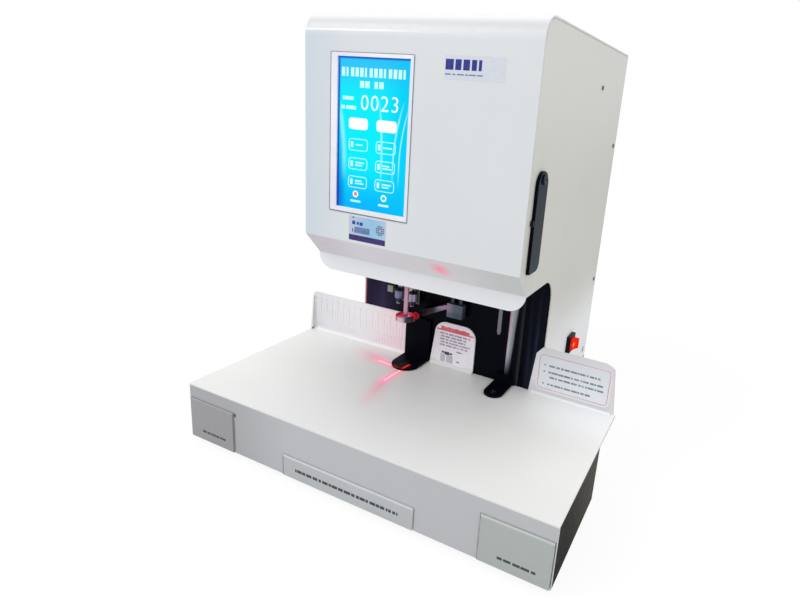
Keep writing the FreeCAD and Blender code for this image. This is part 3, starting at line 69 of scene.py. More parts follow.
class Finish:
    """A node material, and the object coordinates that its nodes share."""

    def __init__(self, name, **constants):
        self.material = bpy.data.materials.new(name)
        self.material.use_nodes = True
        self.tree = self.material.node_tree
        self.shader = self.tree.nodes["Principled BSDF"]
        self.place = self.add("TexCoord").outputs["Object"]
        for name, item in constants.items():
            self.set(name, item)

    def add(self, kind, **settings):
        node = self.tree.nodes.new("ShaderNode" + kind)
        for name, item in settings.items():
            setattr(node, name, item)
        return node

    def feed(self, socket, item):
        """Link an output to a socket, or set its value."""
        if isinstance(item, bpy.types.NodeSocket):
            self.tree.links.new(item, socket)
        else:
            socket.default_value = item

    def set(self, name, item):
        """Set a socket of the shader; an underscore stands for a blank."""
        self.feed(self.shader.inputs[name.replace("_", " ")], item)

    def lay(self, tone):
        """Make this the colour of the surface."""
        self.tone = tone
        self.set("Base_Color", tone)

    def over(self, mask, colour):
        """Lay a colour over the present one where the mask is above 0."""
        self.lay(self.mix(mask, self.tone, colour))

    def glow(self, colour, strength, mask=None):
        """Light of the surface's own, everywhere or where the mask is above 0."""
        self.set("Emission_Color", colour if mask is None else self.mix(mask, BLACK, colour))
        self.set("Emission_Strength", strength)

    def math(self, operation, first, second=0.0, clamp=False):
        node = self.add("Math", operation=operation, use_clamp=clamp)
        self.feed(node.inputs[0], first)
        self.feed(node.inputs[1], second)
        return node.outputs[0]

    def times(self, first, *others):
        for item in others:
            first = self.math("MULTIPLY", first, item)
        return first

    def most(self, first, second):
        return self.math("MAXIMUM", first, second)

    def less(self, first, second):
        return self.math("SUBTRACT", first, second)

    def near(self, item, centre, low, high):
        """0 where the item is further than low from the centre, 1 within high."""
        return self.ramp(self.math("ABSOLUTE", self.less(item, centre)), low, high)

    def power(self, item, exponent):
        return self.math("POWER", item, exponent)

    def vector(self, operation, first, second=None):
        node = self.add("VectorMath", operation=operation)
        self.feed(node.inputs[0], first)
        if second is not None:
            self.feed(node.inputs[3 if operation == "SCALE" else 1], second)
        return node.outputs["Value" if operation in ("DISTANCE", "DOT_PRODUCT", "LENGTH") else "Vector"]

    def away(self, point):
        """Distance to a point, in metres."""
        return self.vector("DISTANCE", self.place, point)

    def noise(self, scale, detail=2.0, stretch=None, rough=0.5):
        place = self.place
        if stretch:
            place = self.vector("MULTIPLY", place, stretch)
        node = self.add("TexNoise")
        self.feed(node.inputs["Vector"], place)
        for name, item in (("Scale", scale), ("Detail", detail), ("Roughness", rough)):
            node.inputs[name].default_value = item
        return node.outputs[0]

    def patches(self, scale, detail, low, high, to_low=0.0, to_high=1.0, **form):
        """Noise whose values from low to high are spread from to_low to to_high."""
        return self.ramp(self.noise(scale, detail, **form), low, high, to_low, to_high)

    def ramp(self, item, low, high, to_low=0.0, to_high=1.0, smooth=False):
        """Held at to_low before low and at to_high beyond high."""
        node = self.add("MapRange", interpolation_type="SMOOTHSTEP" if smooth else "LINEAR")
        for name, number in (("Value", item), ("From Min", low), ("From Max", high),
                             ("To Min", to_low), ("To Max", to_high)):
            self.feed(node.inputs[name], number)
        return node.outputs[0]

    def ease(self, item, low, high, to_low=0.0, to_high=1.0):
        """The same with soft ends."""
        return self.ramp(item, low, high, to_low, to_high, smooth=True)

    def mix(self, factor, first, second):
        node = self.add("Mix", data_type="RGBA")
        for index, item in ((0, factor), (6, first), (7, second)):
            self.feed(node.inputs[index], item)
        return node.outputs[2]

    def axis(self, letter):
        if not hasattr(self, "parts"):
            self.parts = self.add("SeparateXYZ")
            self.feed(self.parts.inputs[0], self.place)
        return self.parts.outputs[letter]

    def along(self, letter, low, high, smooth=False):
        """0 to 1 between two places on an axis, in mm."""
        return self.ramp(self.axis(letter), mm(low), mm(high), smooth=smooth)

    def soft(self, letter, low, high):
        """The same with soft ends."""
        return self.along(letter, low, high, smooth=True)

    def normal(self, letter):
        """How far the face looks along an axis, -1 to 1."""
        if not hasattr(self, "facing"):
            self.facing = self.add("SeparateXYZ")
            self.feed(self.facing.inputs[0], self.add("NewGeometry").outputs["True Normal"])
        return self.facing.outputs[letter]

    def bump(self, height, strength, distance):
        node = self.add("Bump")
        for name, item in (("Height", height), ("Strength", strength), ("Distance", distance)):
            self.feed(node.inputs[name], item)
        self.set("Normal", node.outputs[0])

    def edge(self, radius):
        """0 on flat stretches to 1 along edges narrower than the radius."""
        round_off = self.add("Bevel", samples=4)
        round_off.inputs["Radius"].default_value = radius
        flat = self.add("NewGeometry").outputs["Normal"]
        agree = self.vector("DOT_PRODUCT", round_off.outputs[0], flat)
        return self.ease(agree, 1.0, 0.93)

    def segment(self, start, end):
        """Distance to the straight line between two points, in metres."""
        run = Vector(end) - Vector(start)
        away = self.vector("SUBTRACT", self.place, start)
        share = self.math("MULTIPLY", self.vector("DOT_PRODUCT", away, tuple(run)), 1 / run.length_squared,
                          clamp=True)
        return self.vector("LENGTH", self.vector("SUBTRACT", away, self.vector("SCALE", run, share)))


def paint(name, colour, rough=0.42, grain=1100, peel=0.10, cloud=0.04, wear=0.5, dust=0.05):
    """Powder coat: orange peel, broad tone, rubbed edges, lightened partly as wear and partly as a painted
    highlight.
    """
    item = Finish(name, Specular_IOR_Level=0.42)
    broad = item.patches(7, 3, 0.3, 0.7)
    item.lay(item.mix(broad, shade(colour, 1 - cloud), shade(colour, 1 + cloud)))
    specks = item.patches(420, 4, 0.56, 0.8, 0.0, dust, rough=0.7)
    item.over(specks, shade(colour, 0.62))
    # Lighter edges: rubbed paint, and a painted highlight where the edges catch the light.
    worn_and_lit = item.times(item.edge(mm(0.8)), item.patches(60, 3, 0.35, 0.6, 0.25, wear))
    item.over(worn_and_lit, shade(colour, 1.35))
    item.set("Roughness", item.patches(160, 3, 0.3, 0.7, rough - 0.07, rough + 0.08))
    item.bump(item.noise(grain, 2), peel, mm(0.12))
    return item


def moulded(name, colour, rough=0.5, grain=1800, bump=0.25, **constants):
    """Moulded plastic: fine spark texture, faint sink marks, paler rubbed edges."""
    item = Finish(name, **constants)
    broad = item.patches(14, 2, 0.35, 0.65)
    item.lay(item.mix(broad, shade(colour, 0.92), shade(colour, 1.08)))
    item.over(item.times(item.edge(mm(0.6)), 0.35), shade(colour, 1.6))
    item.set("Roughness", item.patches(240, 3, 0.3, 0.7, rough - 0.08, rough + 0.1))
    item.bump(item.noise(grain, 3), bump, mm(0.05))
    return item


def machined(name, colour, rough=0.32, stretch=(1, 1, 40), scale=60, bump=0.12, metal=1.0):
    """Bare metal with tool lines along the short axis of the stretch, and handling marks."""
    item = Finish(name, Metallic=metal)
    lines = item.noise(scale, 4, stretch=stretch, rough=0.7)
    item.lay(item.mix(item.ramp(lines, 0.35, 0.65), shade(colour, 0.82), shade(colour, 1.08)))
    smudge = item.patches(35, 4, 0.45, 0.75, 0.0, 0.35)
    item.over(smudge, shade(colour, 0.7))
    item.over(item.times(item.edge(mm(0.5)), 0.6), shade(colour, 1.4))
    item.set("Roughness", item.ramp(lines, 0.3, 0.7, rough - 0.1, rough + 0.12))
    item.bump(lines, bump, mm(0.06))
    return item


BLACK = (0, 0, 0, 1)
WHITE = srgb(237, 237, 235)
COVER = srgb(216, 220, 222)
SIDE = srgb(214, 213, 207)
# Painted shade: the apron is the table's own white sheet, made greyer.
APRON_SHADE = srgb(186, 188, 191)

# Where the laser light falls, as pairs of points in mm.
ON_TABLE, ON_TONGUE = 75.6, 78.6
LASER_X = (mm(-82.0, -44.4, ON_TABLE), mm(-43.0, -48.5, ON_TABLE))
LASER_Y = (mm(-44.5, -87.5, ON_TABLE), mm(-43.0, -48.5, ON_TABLE))
FADE_X = (mm(-128.0, -27.0, ON_TABLE), mm(-83.0, -42.0, ON_TABLE))
FADE_Y = (mm(-31.0, -152.0, ON_TABLE), mm(-44.5, -87.0, ON_TABLE))
TONGUE_X = (mm(-55.0, -51.6, ON_TONGUE), mm(-39.0, -55.6, ON_TONGUE))
TONGUE_Y = (mm(-41.5, -58.0, ON_TONGUE), mm(-39.0, -38.0, ON_TONGUE))


def laser_lines(item, lines, near_line, near_glow, power=2.6):
    """Core and halo of straight lines of red light, each a pair of points."""
    nearest = item.segment(*lines[0])
    for line in lines[1:]:
        nearest = item.math("MINIMUM", nearest, item.segment(*line))
    core = item.ease(nearest, mm(near_line), mm(near_line * 0.35))
    halo = item.power(item.ramp(nearest, mm(near_glow), 0.0), power)
    return core, halo


def finish_table():
    """White powder coat with painted light and shade: grey apron under a bright folded edge, a painted
    shadow under the head, painted tints on the fences, laser cross and its pink halo.
    """
    item = paint("table_paint", WHITE, rough=0.38, cloud=0.025)
    front = item.ramp(item.normal("Y"), -0.5, -0.9)
    low = item.along("Z", 74.6, 73.2)
    # Painted shade: the apron greyer than the table, darker still towards its left end.
    left = item.soft("X", -60, -170)
    apron = item.mix(left, APRON_SHADE, shade(APRON_SHADE, 0.78))
    # Painted shadow of the head: a broad darker patch on the table round its front.
    under = item.ease(item.away(mm(10, -95, 76)), mm(260), mm(40))
    item.over(item.times(under, 0.23), srgb(120, 118, 124))
    # Painted light: a brighter, cooler patch at the right back of the table.
    corner = item.times(item.soft("X", 90, 200), item.soft("Y", -105, -30))
    item.over(item.times(corner, 0.7), srgb(250, 252, 255))
    # Painted shade: the table darker towards its front edge.
    near = item.soft("Y", -140, -218)
    item.over(item.times(near, 0.5), shade(WHITE, 0.88))
    # Painted light on the middle fence: a pink tint of the laser light at its left, cooler white at its
    # right.
    fence = item.along("Z", 79, 84)
    middle = item.times(fence, item.along("X", -60, -40))
    item.over(middle, item.mix(item.along("X", 0, 40), srgb(250, 240, 246), srgb(240, 243, 248)))
    # Painted light and shade on the left fence: greyer towards its far end, a pink tint of the laser light
    # near the lasers.
    ruler = item.along("X", -215, -150)
    pink = item.along("X", -140, -75)
    back = item.times(item.along("Y", -9, -6), item.along("X", -60, -66))
    fence_light_tint = item.mix(ruler, srgb(216, 216, 223), srgb(240, 236, 243))
    item.over(back, item.mix(pink, fence_light_tint, srgb(255, 230, 240)))
    # Painted shade on the right fence wing: darker towards its foot, and a little at its right end.
    right = item.times(item.along("X", 110, 114), item.along("Z", 76.6, 78))
    item.over(right, item.mix(item.along("Z", 94, 80), srgb(228, 227, 231), srgb(207, 208, 212)))
    item.over(item.times(right, item.along("X", 212, 219)), srgb(220, 214, 218))
    # Painted shade: the table's right-facing edge faces darkened, towards the back.
    end = item.times(item.ramp(item.normal("X"), 0.6, 0.9), item.along("Z", 79, 77),
                     item.along("Y", -120, -60))
    item.over(end, srgb(112, 110, 108))
    # Lay the painted apron shade on the front face below the fold.
    item.over(item.times(front, low), apron)
    core, halo = laser_lines(item, [LASER_X, LASER_Y], 0.9, 17)
    far = 0.0
    for line, broad, reach in ((FADE_X, 24, 58), (FADE_Y, 18, 78)):
        along = item.away(line[1])
        fade = item.times(laser_lines(item, [line], 1.0, broad, 1.5)[1],
                          item.power(item.ramp(along, mm(reach), 0.0), 1.3))
        far = item.most(fade, far)
    level = item.ramp(item.normal("Z"), 0.5, 0.9)
    core = item.times(core, level)
    near = item.times(item.most(halo, item.times(far, 0.8)), item.along("Z", 110, 76))
    violet = laser_lines(item, [(mm(-41.0, -84.0, ON_TABLE), mm(-42.0, -90.0, ON_TABLE))], 1.0, 8, 1.2)[1]
    item.over(near, item.mix(violet, srgb(255, 142, 168), srgb(255, 110, 200)))
    light = item.mix(core, srgb(255, 96, 140), srgb(255, 232, 240))
    item.glow(light, 0.9, item.most(core, item.times(halo, 0.4)))
    return item


def cross_glow(item):
    """The same cross, red on the dark tongue and its pad."""
    core, halo = laser_lines(item, [TONGUE_X, TONGUE_Y], 1.7, 6)
    on_top = item.ramp(item.normal("Z"), 0.5, 0.9)
    light = item.most(core, item.times(halo, 0.25))
    item.glow(srgb(248, 34, 30), 1.0, item.times(light, on_top))
    return item


def finish_tongue():
    """Blue-black paint that the cross runs over."""
    item = paint("tongue_black", srgb(5, 7, 15), rough=0.45, cloud=0.1, wear=0.06, dust=0.04)
    item.set("Specular_IOR_Level", 0.04)
    return cross_glow(item)


def finish_pad():
    """Dark nylon pad in the tongue, under the same cross."""
    item = moulded("pad_nylon", srgb(20, 19, 24), rough=0.6)
    item.set("Specular_IOR_Level", 0.1)
    return cross_glow(item)


def finish_cover():
    """Front cover: white with painted light and shade, cooler and darker at the left, painted tints on the
    bevel, lip and roundover, a painted highlight line, and the red glow of the lasers on the bevel.
    """
    item = paint("cover_paint", COVER, rough=0.36, cloud=0.02)
    # Painted shade: cooler and darker towards the left end.
    left = item.soft("X", -60, -136)
    item.over(left, srgb(203, 212, 221))
    # Painted light on the downward-facing bevel: pinkish at the left, paler in the middle, greyer at the
    # right.
    bevel = item.times(item.along("Z", 254.6, 253.6), item.ramp(item.normal("Z"), -0.4, -0.6))
    bevel_light_tint = item.mix(item.soft("X", -120, -60), srgb(220, 215, 222), srgb(230, 227, 232))
    bevel_light_tint = item.mix(item.soft("X", 40, 125), bevel_light_tint, srgb(212, 215, 214))
    item.over(bevel, bevel_light_tint)
    # Painted bounce light: the lip low on the cover made lighter.
    item.over(item.along("Z", 229, 226), srgb(227, 229, 233))
    # Painted shade and light on the roundover, by which way it faces: a darker band part way round, lighter
    # towards the top.
    up = item.normal("Z")
    curve = item.times(item.ease(up, 0.04, 0.4), item.ease(up, 1.0, 0.72))
    item.over(curve, srgb(206, 207, 210))
    item.over(item.ease(up, 0.55, 0.98), srgb(238, 239, 239))
    # Painted highlight: a bright thin line along the top, on the left part.
    line = item.near(item.axis("Z"), mm(474.6), mm(1.1), mm(0.3))
    line = item.times(line, item.soft("X", 20, -60))
    item.over(item.times(line, 0.8), srgb(246, 247, 249))
    away = item.away(mm(37, -113, 241))
    spot = item.power(item.ramp(away, mm(15), 0.0), 1.1)
    item.over(item.times(spot, 0.75), srgb(255, 120, 150))
    item.glow(srgb(255, 60, 100), 0.18, spot)
    return item


def finish_side():
    """Warm white panels, lit cooler near the foot by the desk."""
    item = paint("side_paint", SIDE, rough=0.44, cloud=0.02)
    foot = item.times(item.soft("Z", 205, 96), item.ramp(item.normal("X"), 0.4, 0.8))
    item.over(item.soft("Z", 320, 460), srgb(221, 221, 215))
    # Painted light: the lower part of faces looking to the right made paler and cooler.
    item.over(foot, srgb(251, 253, 255))
    return item


def finish_foot():
    """Grey-blue foot with painted light: red-lit ring with a pale painted highlight at its front, dark arm,
    painted lilac sheen where the arm meets the block.
    """
    item = machined("foot_metal", srgb(96, 106, 122), rough=0.38, stretch=(1, 1, 1), scale=300, metal=0.6)
    reach = item.away(mm(-46, -41.5, 145))
    ring = item.ease(reach, mm(20), mm(15.5))
    block = item.along("X", -17, -10)
    # Painted lilac highlight on the arm's end next to the block.
    arm = item.mix(item.soft("X", -20, -12), srgb(8, 11, 21), srgb(124, 98, 122))
    item.lay(item.mix(block, arm, item.tone))
    # Painted lilac highlight on the block's upper part.
    lilac = item.times(block, item.soft("X", 13, -2))
    item.over(item.times(lilac, item.along("Z", 154, 159)), srgb(164, 138, 166))
    teal = item.times(item.along("X", 6, 14), item.along("Z", 161, 154))
    item.over(teal, srgb(66, 82, 94))
    patches = item.patches(150, 2, 0.38, 0.56, 0.3, 1.0)
    left = item.soft("X", -50.0, -52.5)
    right = item.times(item.along("Y", -43, -39), item.along("X", -47, -43))
    red = item.times(item.most(left, right), patches, ring)
    middle_x = mm(-46.5)
    # Painted highlight: the ring pale at its front, dark elsewhere.
    front = item.ease(item.math("ABSOLUTE", item.less(item.axis("X"), middle_x)), mm(8), mm(3))
    item.over(ring, item.mix(front, srgb(34, 28, 44), srgb(214, 184, 202)))
    item.over(red, srgb(160, 16, 36))
    item.set("Metallic", item.times(block, 0.5))
    item.glow(srgb(215, 20, 48), 0.65, red)
    return item


def finish_bit():
    """Bright steel, red along its flanks from the lasers behind it."""
    item = machined("bit_steel", srgb(196, 184, 200), rough=0.34, stretch=(1, 1, 60), scale=40)
    # Painted laser light: red along the flanks, as seen from one fixed direction, and round the upper end,
    # with a glow.
    toward_camera = (0.42, -0.91, 0.0)
    facing = item.vector("DOT_PRODUCT", item.add("NewGeometry").outputs["Normal"], toward_camera)
    flank = item.ease(facing, 0.97, 0.55)
    high = item.soft("Z", 170, 205)
    mask = item.most(item.times(flank, 0.75), high)
    item.over(mask, srgb(156, 72, 98))
    item.glow(srgb(210, 52, 88), 0.5, mask)
    return item


def finish_laser():
    """Blue-lilac bodies above dark barrels."""
    item = machined("laser_anodised", srgb(134, 138, 170), rough=0.3, stretch=(1, 1, 25), metal=0.6)
    item.over(item.along("X", -66, -60), srgb(172, 168, 190))
    item.over(item.along("Z", 159.4, 158.6), srgb(54, 60, 88))
    return item


def finish_bezel():
    """Gloss white frame, with painted light: bluer along the edge near the lit picture's right side."""
    item = moulded("bezel_white", srgb(234, 233, 241), rough=0.26, bump=0.03)
    # Painted light of the picture: the right border tinted blue.
    item.over(item.along("X", -4.2, -3.0), srgb(224, 232, 244))
    return item


def finish_screen():
    """Lit display: cyan to blue, deeper along the left and top edges, with pale sweeps of light."""
    low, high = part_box("display_module")
    item = Finish("screen_picture", Roughness=0.12, Specular_IOR_Level=0.04)
    across = item.ramp(item.axis("X"), low.x, high.x)
    up = item.ramp(item.axis("Z"), low.z, high.z)
    bright = srgb(10, 240, 255)
    sky = item.mix(item.ease(up, 0.72, 1.0), bright, srgb(48, 196, 250))
    sky = item.mix(item.times(item.ease(up, 0.35, 0.0), 0.85), sky, srgb(0, 170, 255))
    sky = item.mix(item.times(item.ease(across, 0.55, 1.0), 0.7), sky, srgb(0, 196, 250))
    corner = item.times(item.ease(across, 0.16, 0.03), item.ramp(up, 0.62, 0.12))
    sky = item.mix(item.times(corner, 0.9), sky, srgb(0, 112, 226))
    for centre, bend, width, force in ((0.86, 0.36, 0.016, 0.8), (0.945, 0.36, 0.013, 0.8),
                                       (0.70, -0.16, 0.022, 0.6), (0.15, -0.30, 0.05, 0.45)):
        curve = item.times(item.power(item.math("SUBTRACT", up, 0.32, clamp=True), 2.0), bend * 2)
        off = item.math("ABSOLUTE", item.less(across, item.math("ADD", curve, centre - 0.05)))
        sweep = item.times(item.ease(off, width, 0.0), force, item.ramp(up, 0.18, 0.35),
                           item.ramp(up, 0.75, 0.6))
        sky = item.mix(sweep, sky, srgb(190, 255, 255))
    rim = item.most(item.ramp(across, 0.034, 0.016), item.ramp(up, 0.985, 0.995))
    deep = item.mix(item.ramp(up, 0.9, 0.1), srgb(28, 84, 200), srgb(16, 30, 160))
    sky = item.mix(rim, sky, deep)
    pixels = item.patches(2600, 1, 0.3, 0.7, 0.94, 1.0)
    grid = item.mix(pixels, shade(bright, 0.8), sky)
    item.lay(item.mix(0.97, grid, BLACK))
    item.glow(grid, 0.97)
    return item


def lit_print(name, colour, strength=0.95):
    """Bright shape in the display's picture."""
    item = Finish(name, Roughness=0.2)
    tone = item.mix(item.patches(900, 2, 0.4, 0.6), shade(colour, 0.94), colour)
    item.lay(item.mix(0.85, tone, BLACK))
    item.glow(tone, strength)
    return item


def ink(name, colour, rough=0.55, spread=0.12):
    """Printed ink or film with a slightly uneven tone."""
    item = Finish(name)
    patches = item.patches(500, 3, 0.35, 0.65)
    item.lay(item.mix(patches, shade(colour, 1 - spread), shade(colour, 1 + spread)))
    item.set("Roughness", item.patches(300, 2, 0.3, 0.7, rough - 0.08, rough + 0.08))
    item.bump(item.noise(2500, 2), 0.15, mm(0.02))
    return item


def finish_smoked():
    """Smoked acrylic: dark from the edge, paler low band, hairline scratches."""
    item = Finish("smoked_acrylic", Specular_IOR_Level=0.05, IOR=1.49)
    side = item.ramp(item.normal("X"), 0.5, 0.9)
    low = item.soft("Z", 270, 266)
    face = item.mix(low, srgb(22, 36, 48), srgb(24, 50, 64))
    window = item.patches(40, 2, 0.35, 0.65, 0.0, 0.25)
    face = item.mix(window, face, srgb(26, 38, 50))
    item.lay(item.mix(side, srgb(4, 8, 22), face))
    item.set("Transmission_Weight", item.ramp(side, 0.0, 1.0, 0.0, 0.05))
    scratch = item.noise(900, 3, stretch=(1, 6, 0.4), rough=0.8)
    item.set("Roughness", item.ramp(scratch, 0.45, 0.8, 0.08, 0.3))
    item.bump(scratch, 0.03, mm(0.05))
    return item


def finish_rocker():
    """Red lens lit by the lamp behind it."""
    item = Finish("rocker_lens", Roughness=0.35, Specular_IOR_Level=0.04)
    away = item.away(mm(139.4, 101.5, 105.0))
    hot = item.power(item.ramp(away, mm(5), 0.0), 1.6)
    item.lay(item.mix(item.patches(120, 2, 0.3, 0.7), srgb(104, 6, 4), srgb(130, 10, 6)))
    item.glow(item.mix(hot, srgb(240, 30, 16), srgb(255, 206, 110)), 0.8)
    ribs = item.math("SINE", item.times(item.axis("Z"), 3600))
    item.bump(ribs, 0.06, mm(0.05))
    return item


def finish_plate_gloss():
    """High gloss blue-black moulding, with painted reflections: the long highlight of its round sleeve, a
    faint sheen at the right and red laser light along the sleeve and the left edge.
    """
    item = moulded("throat_gloss", srgb(5, 8, 17), rough=0.2, bump=0.02, Specular_IOR_Level=0.045)
    low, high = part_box("throat_plate")
    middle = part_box("rivet_column")
    axis_x, axis_y = [(low + high) / 2 for low, high in zip(middle[0][:2], middle[1][:2])]
    across = item.less(item.axis("X"), axis_x)
    toward = item.less(axis_y, item.axis("Y"))
    around = item.math("ARCTAN2", across, toward)
    reach = item.math("SQRT", item.math("ADD", item.power(across, 2), item.power(toward, 2)))
    tube = item.times(item.ramp(reach, mm(14.6), mm(14.2)), item.ramp(toward, mm(7.5), mm(8.5)))
    # Painted highlight down the round sleeve, streaked, with a faint second streak.
    highlight_streaks = item.noise(60, 3, stretch=(3, 3, 0.12), rough=0.7)
    off = item.math("ADD", around, item.ramp(highlight_streaks, 0.3, 0.7, 0.12, 0.34))
    end = item.ramp(item.axis("Z"), mm(90), mm(180), 0.12, 0.5)
    bright = item.times(item.ease(off, -0.46, -0.34),
                        item.power(item.math("MULTIPLY", item.less(end, off), 1.9, clamp=True), 0.8))
    bright = item.times(bright, item.soft("Z", 84, 122), item.ramp(highlight_streaks, 0.3, 0.7, 0.7, 1.0))
    second = item.times(item.near(around, 0.85, 0.4, 0.0), 0.05)
    violet = item.patches(26, 2, 0.35, 0.65, 0.4, 1.0, stretch=(1, 1, 0.25))
    left = item.times(item.soft("X", -60, -112), violet)
    item.over(left, srgb(52, 45, 74))
    # Painted reflection: a faint streaked sheen towards the right.
    sheen = item.patches(70, 2, 0.46, 0.66, 0.12, 1.0, stretch=(1.6, 1.6, 0.09))
    outer = item.times(item.soft("X", 104, 118), sheen)
    item.over(outer, srgb(44, 50, 72))
    item.over(item.times(item.most(bright, second), tube), srgb(222, 230, 242))
    # Painted red laser light: a deep red line down the sleeve and along the plate's left edge, glowing.
    crimson_reflection = item.times(item.near(around, -0.62, 0.07, 0.03), tube)
    side = item.ramp(item.axis("X"), low.x + mm(1.6), low.x + mm(0.6))
    red = item.most(item.times(crimson_reflection, item.along("Z", 100, 140)), side)
    item.over(red, srgb(120, 20, 60))
    item.glow(srgb(150, 26, 72), 0.5, red)
    return item


def finish_base():
    """Dark warm grey side walls, deepest at the front corner."""
    item = paint("base_paint", srgb(90, 85, 76), rough=0.6, cloud=0.12)
    item.set("Specular_IOR_Level", 0.2)
    item.over(item.along("Y", -20, -190), srgb(12, 9, 5))
    return item


def finish_drawers():
    """One paint over the three fronts, with painted light and shade: darkest at the left end, slightly green
    at the right, a painted highlight along the top edges and painted shade in the seams.
    """
    item = paint("drawer_paint", srgb(184, 187, 189), rough=0.4)
    # Painted shade: darker towards the left end, greener towards the right.
    left = item.along("X", -140, -150)
    right = item.along("X", 140, 150)
    item.over(left, srgb(153, 152, 155))
    item.over(right, srgb(172, 178, 175))
    front = item.ramp(item.normal("Y"), -0.5, -0.9)
    patches = item.patches(90, 2, 0.35, 0.6, 0.45, 1.0)
    for name, lit, seam_shade, wide in (("scrap_drawer", 0.65, 0.9, 1.5), ("left_drawer", 0.1, 0.9, 1.3),
                                  ("right_drawer", 0.5, 0.75, 1.2)):
        low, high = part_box(name)
        edge = high.x if name == "left_drawer" else low.x
        inside = item.times(item.ramp(item.axis("X"), low.x - mm(0.6), low.x - mm(0.2)),
                            item.ramp(item.axis("X"), high.x + mm(0.6), high.x + mm(0.2)), front)
        # Painted highlight along each front's top edge.
        rim = item.times(inside, item.ramp(item.axis("Z"), high.z - mm(2.6), high.z - mm(1.4)))
        item.over(item.times(rim, lit), srgb(222, 225, 228))
        # Painted shade in the seam at the side of each front.
        near = item.near(item.axis("X"), edge, mm(wide), mm(wide - 0.4))
        near = item.times(near, inside, patches)
        item.over(item.times(near, seam_shade), srgb(92, 92, 97))
    return item


def finish_rubber(name):
    """Matt rubber with a coarse grain."""
    return moulded(name, srgb(34, 34, 36), rough=0.78, grain=900, bump=0.5)


def finish_board():
    """Green circuit board with paler tracks."""
    item = moulded("board_green", srgb(16, 92, 58), rough=0.42, bump=0.05)
    tracks = item.add("TexBrick")
    item.feed(tracks.inputs["Vector"], item.vector("SCALE", item.place, 260.0))
    lines = item.ramp(tracks.outputs[1], 0.4, 0.6)
    item.over(lines, srgb(40, 140, 84))
    return item


CAD_LOOKS = (
    (finish_table(), "table_plate"),
    (finish_cover(), "front_cover"),
    # Painted shade: the roof's white made greyer against the light it takes from above.
    (paint("roof_shaded_paint", srgb(210, 212, 211), rough=0.38, cloud=0.03), "top_cover"),
    (finish_side(), "left_side_panel", "right_side_panel", "rear_cover"),
    (finish_drawers(), "scrap_drawer", "left_drawer", "right_drawer"),
    (finish_base(), "base_left_wall", "base_right_wall", "base_floor"),
    (paint("floor_paint", srgb(14, 15, 20), rough=0.5, wear=0.1), "head_floor"),
    (finish_tongue(), "drill_tongue", "rivet_tongue"),
    (finish_plate_gloss(), "throat_plate"),
    (finish_rubber("foot_rubber"), "rubber_feet"),
    (finish_rubber("belt_rubber"), "drill_belt"),
    (machined("zinc_plate", srgb(190, 192, 194), rough=0.36, scale=90), "drawer_rails", "laser_bracket"),
    (machined("machined_steel", srgb(165, 166, 170), stretch=(1, 30, 1)),
     "left_frame_plate", "right_frame_plate", "bed_beam", "spindle_bearings", "drill_spindle", "feed_screw",
     "rivet_screw"),
    (machined("machined_aluminium", srgb(205, 207, 210), rough=0.34, stretch=(30, 1, 1)),
     "head_plate", "shaft_blocks", "drill_carriage", "rivet_carriage", "upper_heater", "lower_heater",
     "spindle_pulley", "motor_pulley", "power_supply"),
    (machined("ground_chrome", srgb(214, 216, 220), rough=0.16, stretch=(1, 1, 0.2), scale=300, bump=0.03),
     "drill_guide_shafts", "rivet_column"),
    (machined("black_oxide", srgb(72, 74, 84), rough=0.4, stretch=(1, 1, 0.2), scale=300),
     "press_foot_rods", "cover_pivot_screw"),
    (finish_foot(), "press_foot"),
    (finish_bit(), "hollow_drill"),
    (paint("motor_black", srgb(36, 37, 40), rough=0.48, wear=0.3),
     "drill_motor", "feed_motor", "rivet_motor"),
    (machined("heated_brass", srgb(132, 129, 138), rough=0.4, stretch=(1, 1, 30)), "rivet_pin"),
    (machined("die_steel", srgb(58, 56, 62), rough=0.45, stretch=(1, 1, 1)), "lower_die"),
    (finish_laser(), "laser_modules"),
    (finish_smoked(), "loading_cover"),
    (moulded("holder_plastic", srgb(150, 160, 168), rough=0.45), "tube_holder"),
    (moulded("black_moulding", srgb(30, 31, 34), rough=0.46), "mains_inlet", "fan_housing"),
    (moulded("switch_black", srgb(14, 17, 22), rough=0.4, Specular_IOR_Level=0.12), "switch_housing"),
    (finish_pad(), "cutting_pad"),
    (finish_bezel(), "screen_bezel"),
    (finish_screen(), "display_module"),
    (finish_board(), "control_board"),
)
LOOKS = {name: look for look, *names in CAD_LOOKS for name in names}


def soften(item, width, angle):
    """Slightly broken edges, in mm and degrees, and smooth shading that keeps flat faces flat."""
    if width:
        bevel = item.modifiers.new("broken_edges", "BEVEL")
        bevel.width = mm(width)
        bevel.segments = 2
        bevel.limit_method = "ANGLE"
        bevel.angle_limit = math.radians(angle)
    for face in item.data.polygons:
        face.use_smooth = True
    item.modifiers.new("flat_faces", "WEIGHTED_NORMAL").keep_sharp = True


def dress(name, look):
    """Give a CAD node its finish, merged corners and slightly broken edges."""
    item = NODES[name]
    item.data.materials.clear()
    item.data.materials.append(look.material)
    weld = item.modifiers.new("weld", "WELD")
    weld.merge_threshold = 1e-6
    flat = item.modifiers.new("whole_faces", "DECIMATE")
    flat.decimate_type = "DISSOLVE"
    flat.angle_limit = math.radians(0.3)
    soften(item, EDGE.get(name, USUAL_EDGE), 40)


USUAL_EDGE = 0.35
EDGE = {
    "front_cover": 0.7, "table_plate": 0.5, "loading_cover": 0.6, "press_foot": 0.8,
    "drill_tongue": 0.5, "rivet_tongue": 0.5, "hollow_drill": 0.1, "lower_die": 0.2, "drill_belt": 0.1,
    "display_module": 0.1,
}
for name, look in LOOKS.items():
    dress(name, look)


# Faces that carry prints, as y in mm, and the thickness of ink on them.
FACE = -125.2
FENCE_FACE = -7.01
APRON_FACE = -223.0
INK = 0.03


